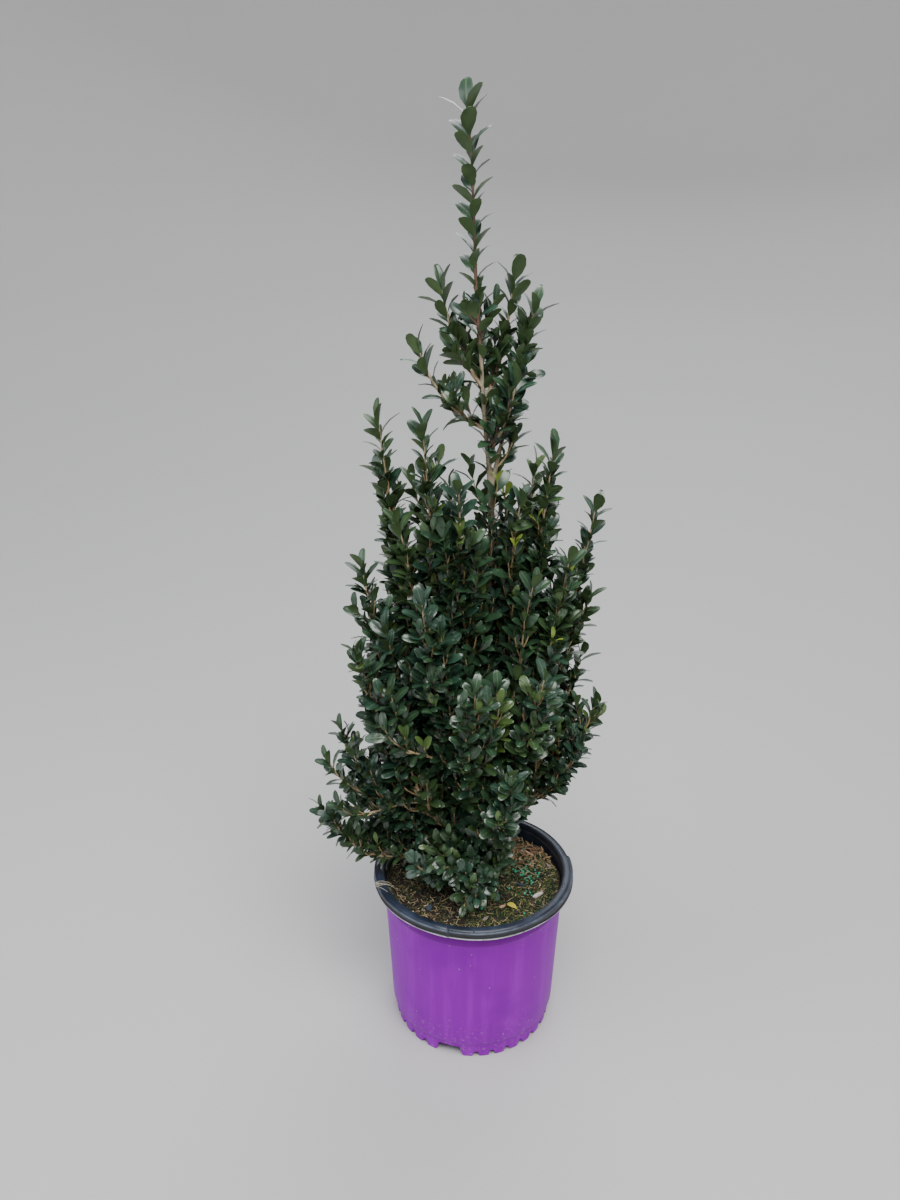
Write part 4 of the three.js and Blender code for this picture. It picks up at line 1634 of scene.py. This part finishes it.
    @property
    def rim_tones(self) -> dict[str, tuple[Colour, Colour, Colour]]:
        """The colours of the rim's pale lower edge, of its side, darkened as a painted reflection of dark
        ground, and of its upper bead, lightened as a painted highlight.

        Returns:
            The plain, the lighter and the soiled colour of each, by the name of its material.
        """
        return {
            "rim_edge_plastic": ((0.17, 0.16, 0.19), (0.62, 0.60, 0.66), (0.06, 0.05, 0.055)),
            # Painted reflection: the side is darker than the rest of the rim, for dark ground mirrored in it.
            "rim_side_painted_reflection": ((0.006, 0.007, 0.010), (0.016, 0.020, 0.028), (0.02, 0.015, 0.011)),
            # Painted highlight: the bead's crest is lighter, for light caught on its rounded edge.
            "rim_bead_painted_highlight": ((0.022, 0.029, 0.047), (0.12, 0.145, 0.20), (0.025, 0.02, 0.016)),
        }

    def wear_rim(self, rim: bpy.types.Object) -> None:
        """Bends the rim a little, tears it at the front and draws it in behind the bend at the right.

        Args:
            rim: The rim as it was turned.
        """
        wide, (first, last) = self.rim_radius - self.shoulder, self.bend
        for vertex in rim.data.vertices:
            place = vertex.co
            angle = math.degrees(math.atan2(place.y, place.x))
            share = max(0.0, (math.hypot(place.x, place.y) - self.shoulder) / wide)
            heading = Vector((place.x, place.y, 0.0)).normalized()
            place.z += self.wave * noise.noise(heading * 2 + Vector((0.0, 0.0, 0.4))) * share
            past = self.tear_at - angle
            if 0.0 < past < self.tear_span and place.z > self.wall_top + 0.002:
                drop = (1 - past / self.tear_span) ** 1.5
                place.z -= self.tear_move[0] * drop * (0.35 + 0.65 * share)
                place.xy -= heading.xy * self.tear_move[1] * drop * share
            if first < angle < last:
                drawn = min(1.0, (angle - first) / 1.6) * min(1.0, (last - angle) / 40.0)
                place.xy -= heading.xy * self.bend_move[1] * drawn * share
                place.z -= self.bend_move[0] * drawn * share


@dataclass
class Litter:
    """One kind of small thing that lies on the soil, joined into one piece."""

    name: str
    count: int
    seed: int
    size: tuple[float, float, float]
    vary: float
    finish: Crumbs
    where: Callable[[float, float, float], bool]
    lift: float = 0.0
    stand: float = 0.25
    curl: float = 0.8


@dataclass
class Soil:
    """The potting soil with the bark, moss, straw and prills that lie on it.

    Its lumps are layers of noise by scale, layer and height. A loose chip has the place of its middle,
    its heading in degrees, its length, its width as a share of that, and the number of its finish.
    """

    plant: Plant
    radius: float = 0.1045
    foot: float = 0.0905
    bottom: float = 0.0172
    middle: float = 0.1885
    edge: float = 0.1825
    rings: int = 34
    segments: int = 150
    litter_reach: float = 0.965
    round_trunk: float = 0.013
    prill_count: int = 66
    prill_patch: tuple = ((0.062, 0.0095), (0.010, 0.017))
    prill_patch_share: float = 0.8
    wisp_count: int = 7
    lumps: tuple = ((38, 1.7, 0.0022), (120, 5.1, 0.0014), (420, 9.4, 0.0010))
    chips: tuple = (
        (0.0745, -0.036, 31, 0.0145, 0.38, 0), (0.032, -0.0565, 20, 0.0075, 0.6, 1),
        (-0.052, -0.058, 70, 0.0095, 0.75, 2), (-0.070, -0.069, 120, 0.0090, 0.6, 1),
        (-0.099, -0.028, 103, 0.0180, 0.28, 3), (0.092, 0.020, 115, 0.0105, 0.45, 3),
        (0.030, -0.092, 12, 0.0110, 0.6, 1), (-0.0713, -0.063, 15, 0.0042, 0.9, 4),
        (0.055, -0.020, 165, 0.0105, 0.4, 2), (0.046, 0.062, 64, 0.0120, 0.3, 0),
        (0.012, -0.078, 38, 0.0085, 0.45, 3), (0.070, 0.044, 140, 0.0140, 0.3, 1),
    )

    def height_at(self, x: float, y: float) -> float:
        """The height of the soil's rough surface at a place.

        Args:
            x: How far the place is to the right.
            y: How far the place is to the back.

        Returns:
            The height in metres.
        """
        out = math.hypot(x, y) / self.radius
        level = self.middle - (self.middle - self.edge) * max(0.0, (out - 0.2) / 0.8) ** 1.6
        relief = sum(
            noise.noise(Vector((x * scale, y * scale, layer))) * height for scale, layer, height in self.lumps
        )
        return level + relief * min(1.0, out * 3) - 0.0006

    def build(self) -> list[bpy.types.Object]:
        """Makes the soil and all that lies on it.

        Returns:
            All of its pieces, dressed.
        """
        bed = self.make_bed()
        litter = [self.scatter(kind) for kind in self.kinds()]
        loose = [self.prills(), self.fallen_leaf(), self.loose_chips(), self.straw_wisps()]
        return [bed, *litter, *loose]

    def make_bed(self) -> bpy.types.Object:
        """Models the soil from a filled circle, inset ring by ring and then roughened.

        Returns:
            The soil.
        """
        bpy.ops.object.select_all(action="DESELECT")
        bpy.ops.mesh.primitive_circle_add(
            vertices=self.segments, radius=self.radius, fill_type="NGON", location=(0, 0, self.middle)
        )
        bed = bpy.context.object
        bed.name = bed.data.name = "potting_mix"
        bpy.ops.object.transform_apply(location=True, rotation=True, scale=True)
        bpy.ops.object.mode_set(mode="EDIT")
        bpy.ops.mesh.select_all(action="SELECT")
        bpy.ops.mesh.extrude_region_move(TRANSFORM_OT_translate={"value": (0, 0, 0.0)})
        for _ in range(self.rings):
            bpy.ops.mesh.inset(thickness=self.radius / (self.rings + 1.5), depth=0)
        bpy.ops.mesh.poke()
        bpy.ops.object.mode_set(mode="OBJECT")
        self.lower_base(bed)
        for vertex in bed.data.vertices:
            if vertex.co.z > self.middle - 0.001:
                vertex.co.z = self.height_at(vertex.co.x, vertex.co.y)
        smooth(bed, 75.0)
        finish = Crumbs("soil_mix", (0.005, 0.004, 0.003), (0.036, 0.026, 0.016), 260.0, 0.92, 0.0018)
        dress(bed, Slot.SOIL, finish.make())
        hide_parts("potting_soil")
        return bed

    def lower_base(self, bed: bpy.types.Object) -> None:
        """Draws the circle that was left below the soil's top down to the pot's floor.

        Args:
            bed: The soil, whose base still lies in the plane of its top.
        """
        mesh = bmesh.new()
        mesh.from_mesh(bed.data)
        mesh.verts.ensure_lookup_table()
        rim = [v for v in mesh.verts if math.hypot(v.co.x, v.co.y) > self.radius - 1e-5]
        low = [v for v in rim if any(len(face.verts) > 8 for face in v.link_faces)]
        for vertex in low:
            vertex.co *= self.foot / self.radius
            vertex.co.z = self.bottom
        bmesh.ops.recalc_face_normals(mesh, faces=mesh.faces)
        mesh.to_mesh(bed.data)
        mesh.free()

    def kinds(self) -> list[Litter]:
        """The kinds of litter, with where each of them lies.

        Returns:
            The kinds.
        """
        anywhere = lambda x, y, draw: True
        mossy = lambda x, y, draw: draw < 0.22 + 0.78 * (x > -0.01 and y < 0.045)
        fibrous = lambda x, y, draw: draw < 0.42 or (x > 0.02 and y > 0.0)
        behind = lambda x, y, draw: x > 0.015 and y > 0.018
        chip_dark = Crumbs("chip_dark", (0.012, 0.009, 0.007), (0.055, 0.038, 0.026), 300.0)
        chip_light = Crumbs("chip_light", (0.15, 0.10, 0.055), (0.34, 0.25, 0.15), 300.0)
        curl = Crumbs("curl_bark", (0.16, 0.085, 0.04), (0.44, 0.29, 0.165), 240.0)
        straw = Crumbs("straw", (0.26, 0.19, 0.095), (0.64, 0.54, 0.33), 400.0, 0.8, 0.0002)
        # Painted shade: a darker copy of the straw, for fibres lying in shade deeper in the mat.
        shade = Crumbs("straw_shade", (0.10, 0.07, 0.035), (0.22, 0.16, 0.08), 400.0, 0.8, 0.0002)
        moss = Crumbs("moss", (0.036, 0.066, 0.013), (0.15, 0.180, 0.038), 500.0, 0.85, 0.0003)
        # Painted shade: a darker copy of the moss, for sprigs lying in shade deeper in the mat.
        moss_shade = Crumbs("moss_shade", (0.007, 0.020, 0.010), (0.033, 0.062, 0.023), 500.0, 0.85, 0.0003)
        return [
            Litter("bark_chips_dark", 1400, 3, (0.0052, 0.0026, 0.0011), 0.6, chip_dark, anywhere),
            Litter("bark_chips_light", 260, 5, (0.0052, 0.0018, 0.0010), 0.7, chip_light, fibrous),
            Litter("bark_curls", 120, 29, (0.0105, 0.0022, 0.0009), 0.7, curl, behind, 0.0012, 0.8, 3.0),
            Litter("straw_fibres", 800, 8, (0.0072, 0.0005, 0.0005), 0.9, straw, fibrous, 0.0010, 0.8, 2.2),
            Litter("straw_painted_shade", 700, 37, (0.0070, 0.0006, 0.0006), 0.9, shade, anywhere, 0.0006, 0.7, 1.8),
            Litter("moss_sprigs", 1500, 11, (0.0032, 0.0009, 0.0008), 0.7, moss, mossy, 0.0010, 1.2),
            Litter("moss_painted_shade", 1800, 19, (0.0036, 0.0012, 0.0010), 0.7, moss_shade, mossy, 0.0006, 1.1),
        ]

    def scatter(self, kind: Litter) -> bpy.types.Object:
        """Scatters one kind of litter as small tapered chips.

        Args:
            kind: What to scatter.

        Returns:
            The joined piece.
        """
        rng = np.random.default_rng(kind.seed)
        vertices, faces, made = [], [], 0
        while made < kind.count:
            out = self.radius * self.litter_reach * math.sqrt(rng.random())
            angle = rng.random() * 2 * math.pi
            x, y = out * math.cos(angle), out * math.sin(angle)
            draw = rng.random()
            long, wide, thick = (size * (1 + kind.vary * (rng.random() - 0.5) * 1.6) for size in kind.size)
            heading, tilt = rng.random() * 2 * math.pi, kind.stand * (rng.random() - 0.3)
            bend = rng.random() - 0.5
            if out < self.round_trunk or not kind.where(x, y, draw):
                continue
            level, climb = math.cos(tilt), math.sin(tilt)
            forward = np.array([math.cos(heading) * level, math.sin(heading) * level, climb])
            side = unit(np.cross(UP, forward))
            above = np.cross(forward, side)
            height = self.height_at(x, y) + thick * 0.35 + kind.lift + abs(climb) * long * 0.3
            centre = np.array([x, y, height])
            base = len(vertices)
            for share, width in ((-0.5, 0.55), (0.0, 1.0), (0.5, 0.4)):
                spine = centre + forward * long * share + side * long * bend * (0.25 - share**2) * kind.curl
                for across, up in ((-0.5, -0.5), (0.5, -0.5), (0.5, 0.5), (-0.5, 0.5)):
                    vertices.append(spine + side * wide * width * across + above * thick * up)
            faces += slab_faces(base, 3)
            made += 1
        piece = piece_from(kind.name, np.array(vertices), faces, [kind.finish.make()], None, 35.0)
        dress(piece, Slot.SOIL)
        return piece

    def prills(self) -> bpy.types.Object:
        """Scatters fertiliser prills, most of them in a patch at the right of the trunk.

        Returns:
            The joined piece.
        """
        rng = np.random.default_rng(17)
        vertices, faces = [], []
        ball, ball_faces = self.ball(8, 6)
        while len(vertices) < self.prill_count:
            if rng.random() < self.prill_patch_share:
                x, y = (rng.normal(*row) for row in self.prill_patch)
            else:
                x, y = rng.uniform(-0.09, 0.09), rng.uniform(-0.09, 0.09)
            if math.hypot(x, y) > self.radius * 0.93 or math.hypot(x, y) < 0.014:
                continue
            size = 0.0011 + 0.0006 * rng.random()
            centre = np.array([x, y, self.height_at(x, y) + size * 1.1])
            vertices.append(ball * size * (1, 1, 0.9) + centre)
        for number in range(len(vertices)):
            faces += [[v + number * len(ball) for v in face] for face in ball_faces]
        piece = piece_from("fertiliser_prills", np.concatenate(vertices), faces, [Prill().make()], None, 80.0)
        dress(piece, Slot.SOIL)
        return piece

    def ball(self, sides: int, bands: int) -> tuple[np.ndarray, list[list[int]]]:
        """A small closed ball of unit radius.

        Args:
            sides: How many facets it has round.
            bands: How many it has from pole to pole.

        Returns:
            Its vertices and faces.
        """
        points, faces = [(0.0, 0.0, -1.0)], []
        for band in range(1, bands):
            tilt = math.pi * band / bands - math.pi / 2
            level = math.cos(tilt)
            for side in range(sides):
                turn = 2 * math.pi * side / sides
                points.append((level * math.cos(turn), level * math.sin(turn), math.sin(tilt)))
        points.append((0.0, 0.0, 1.0))
        top = len(points) - 1
        for side in range(sides):
            a, b = 1 + side, 1 + (side + 1) % sides
            faces.append([0, b, a])
            for band in range(bands - 2):
                row = band * sides
                faces.append([a + row, b + row, b + row + sides, a + row + sides])
            row = (bands - 2) * sides
            faces.append([a + row, b + row, top])
        return np.array(points), faces

    def fallen_leaf(self) -> bpy.types.Object:
        """Makes the yellow leaf that lies on the soil at the front.

        Returns:
            The leaf.
        """
        shape, faces, _ = LeafCut(fold=0.3, droop=0.02).mesh()
        placed = self.laid(shape * (1.25, 1.0, 1.0), 0.0433, -0.057, 142.0, 0.0135)
        yellow = LeafSkin("leaf_yellow", (0.66, 0.52, 0.035), (0.50, 0.42, 0.05), 0.45).make()
        leaf = piece_from("fallen_leaf", placed, faces, [yellow], None, 70.0)
        dress(leaf, Slot.SOIL)
        return leaf

    def laid(self, shape: np.ndarray, x: float, y: float, heading: float, length: float) -> np.ndarray:
        """Lays a shape of unit length on the soil.

        Args:
            shape: Its points, with the length along Y.
            x: Where its middle lies.
            y: Where its middle lies.
            heading: The way that its length points, in degrees from +X.
            length: Its length.

        Returns:
            The placed points.
        """
        angle = math.radians(heading)
        forward = np.array([math.cos(angle), math.sin(angle), 0.08])
        side = unit(np.cross(forward, UP))
        above = np.cross(side, unit(forward))
        start = np.array([x, y, self.height_at(x, y) + 0.0032]) - forward * length / 2
        return start + (shape[:, :1] * side + shape[:, 1:2] * forward + shape[:, 2:] * above) * length

    def loose_chips(self) -> bpy.types.Object:
        """Lays the larger chips that stand out from the soil, each an uneven slab, as one piece.

        Returns:
            The joined piece.
        """
        finishes = [
            Crumbs("chip_pale", (0.42, 0.38, 0.34), (0.62, 0.58, 0.52), 300.0).make(),
            Crumbs("chip_pink", (0.40, 0.22, 0.15), (0.56, 0.38, 0.27), 300.0).make(),
            Crumbs("chip_slate", (0.018, 0.026, 0.045), (0.045, 0.06, 0.09), 300.0).make(),
            Crumbs("chip_grey", (0.15, 0.12, 0.10), (0.27, 0.23, 0.19), 300.0).make(),
            Crumbs("chip_straw", (0.52, 0.48, 0.16), (0.68, 0.62, 0.28), 300.0).make(),
        ]
        stations = ((0.0, 0.30), (0.22, 0.86), (0.55, 1.0), (0.85, 0.62), (1.0, 0.22))
        vertices, faces, material_of = [], [], []
        for number, (x, y, heading, length, width, finish) in enumerate(self.chips):
            rows = []
            for share, wide in stations:
                half = width * wide / 2 * (0.85 + 0.3 * chance(number, round(10 * share), 31))
                lift = 0.06 * math.sin(math.pi * share) * (1 - 2 * chance(number, 3, 32))
                rows += [(-half, share, lift - 0.05), (half, share, lift - 0.05)]
                rows += [(half * 0.8, share, lift + 0.06), (-half * 0.8, share, lift + 0.07)]
            slab = slab_faces(len(rows) * number, len(stations), mirrored=True)
            faces += slab
            material_of += [finish] * len(slab)
            vertices.append(self.laid(np.array(rows), x, y, heading, length))
        chips = np.concatenate(vertices)
        piece = piece_from("loose_chips", chips, faces, finishes, np.array(material_of), 40.0)
        dress(piece, Slot.SOIL)
        return piece

    def straw_wisps(self) -> bpy.types.Object:
        """Lays a few pale fibres over the rim at the left and in to the soil.

        Returns:
            The joined piece.
        """
        wisps = Tubes()
        for number in range(self.wisp_count):
            draw = lambda item: chance(number, item, 41)
            start = math.radians(198.5 + 5.5 * (draw(1) - 0.5))
            end = start + math.radians(14 * (draw(2) - 0.35))
            outer, inner = 119.0 + 1.5 * draw(3), 112.0 - 26.0 * draw(4) ** 2
            line = []
            for share in np.linspace(0.0, 1.0, 7):
                turn, out = start + (end - start) * share, outer + (inner - outer) * share
                height = 202.9 + 1.6 * draw(5) * math.sin(math.pi * share)
                if out < 104.0:
                    height -= (104.0 - out) * 0.72
                line.append((math.cos(turn) * out, math.sin(turn) * out, height))
            wisps.add(Path.through(line, 3), lambda share, _: 0.24 - 0.12 * share, 5, np.linspace(0, 1, 10))
        straw = Crumbs("wisp_straw", (0.50, 0.45, 0.32), (0.68, 0.64, 0.52), 400.0, 0.75, 0.0001).make()
        piece = wisps.piece("straw_wisps", [straw])
        dress(piece, Slot.SOIL)
        return piece


# The studio


@dataclass
class Studio:
    """The pale floor, the soft light and the camera at the photograph's place."""

    camera_place: tuple = (-0.028, -0.984, 0.947)
    camera_pitch: float = 22.27
    focal_pixels: float = 1000.0
    picture_height: float = 1200.0
    paper: Colour = (0.53, 0.528, 0.52)
    paper_light: Colour = (0.55, 0.548, 0.54)
    lights: tuple = (
        ("key", (0.3, -1.35, 2.9), (0.0, 0.0, 0.5), 1.9, 118.0, (1.0, 0.985, 0.96)),
        ("fill", (-1.9, -0.7, 1.9), (0.0, 0.0, 0.5), 1.8, 26.0, (0.88, 0.94, 1.0)),
        ("back", (0.5, 2.0, 2.5), (0.0, 0.0, 0.6), 2.2, 40.0, (0.95, 0.98, 1.0)),
    )

    def build(self) -> None:
        """Sets up camera, lights, sky and floor."""
        self.add_camera()
        for light in self.lights:
            self.add_light(*light)
        world = bpy.data.worlds.new("soft_sky")
        world.use_nodes = True
        sky = world.node_tree.nodes["Background"]
        sky.inputs["Color"].default_value = (0.80, 0.87, 1.0, 1.0)
        sky.inputs["Strength"].default_value = 0.33
        bpy.context.scene.world = world
        self.add_floor()

    def add_camera(self) -> None:
        """Stands the camera where the photograph was taken from."""
        data = bpy.data.cameras.new("photo_camera")
        data.sensor_width = 36.0
        data.lens = self.focal_pixels / self.picture_height * 36.0
        camera = bpy.data.objects.new("photo_camera", data)
        camera.location = self.camera_place
        camera.rotation_euler = (math.radians(90 - self.camera_pitch), 0.0, 0.0)
        bpy.context.collection.objects.link(camera)
        bpy.context.scene.camera = camera

    def add_light(
        self, name: str, place: tuple, target: tuple, size: float, power: float, colour: Colour
    ) -> None:
        """Adds one soft area light that faces a point.

        Args:
            name: Its name.
            place: Where it stands.
            target: The point that it faces.
            size: The width of its square.
            power: Its power in watts.
            colour: Its colour.
        """
        data = bpy.data.lights.new(name, "AREA")
        data.size, data.energy, data.color = size, power, colour
        light = bpy.data.objects.new(name, data)
        light.location = place
        light.rotation_euler = (Vector(target) - Vector(place)).to_track_quat("-Z", "Y").to_euler()
        bpy.context.collection.objects.link(light)

    def add_floor(self) -> None:
        """Lays a wide pale floor that curves up into a plain wall all round."""
        profile = [
            (0.0, 0.0), (1.0, 0.0), (1.6, 0.02), (2.2, 0.12), (2.7, 0.30), (3.15, 0.60), (3.45, 1.0),
            (3.6, 1.5), (3.68, 4.4),
        ]
        floor = turned("studio_floor", profile, 96)
        smooth(floor, 40.0)
        bench = Bench("floor_paper")
        tone = bench.mix(bench.noise(1.5, 2.0), self.paper, self.paper_light)
        floor.data.materials.append(bench.done(Base_Color=tone, Roughness=0.8))


def main() -> None:
    """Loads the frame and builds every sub-assembly over it."""
    logging.basicConfig(level=logging.INFO, format="%(name)s: %(message)s")
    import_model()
    Studio().build()
    plant = Plant()
    crown = Crown(plant)
    crown.grow()
    pieces = [*Pot().build(), *Soil(plant).build(), *Timber(plant).build(), *Foliage(crown).build()]
    for piece in pieces:
        log.info("%s: %d faces", piece.name, len(piece.data.polygons))
    bpy.context.view_layer.update()


if __name__ == "__main__":
    main()
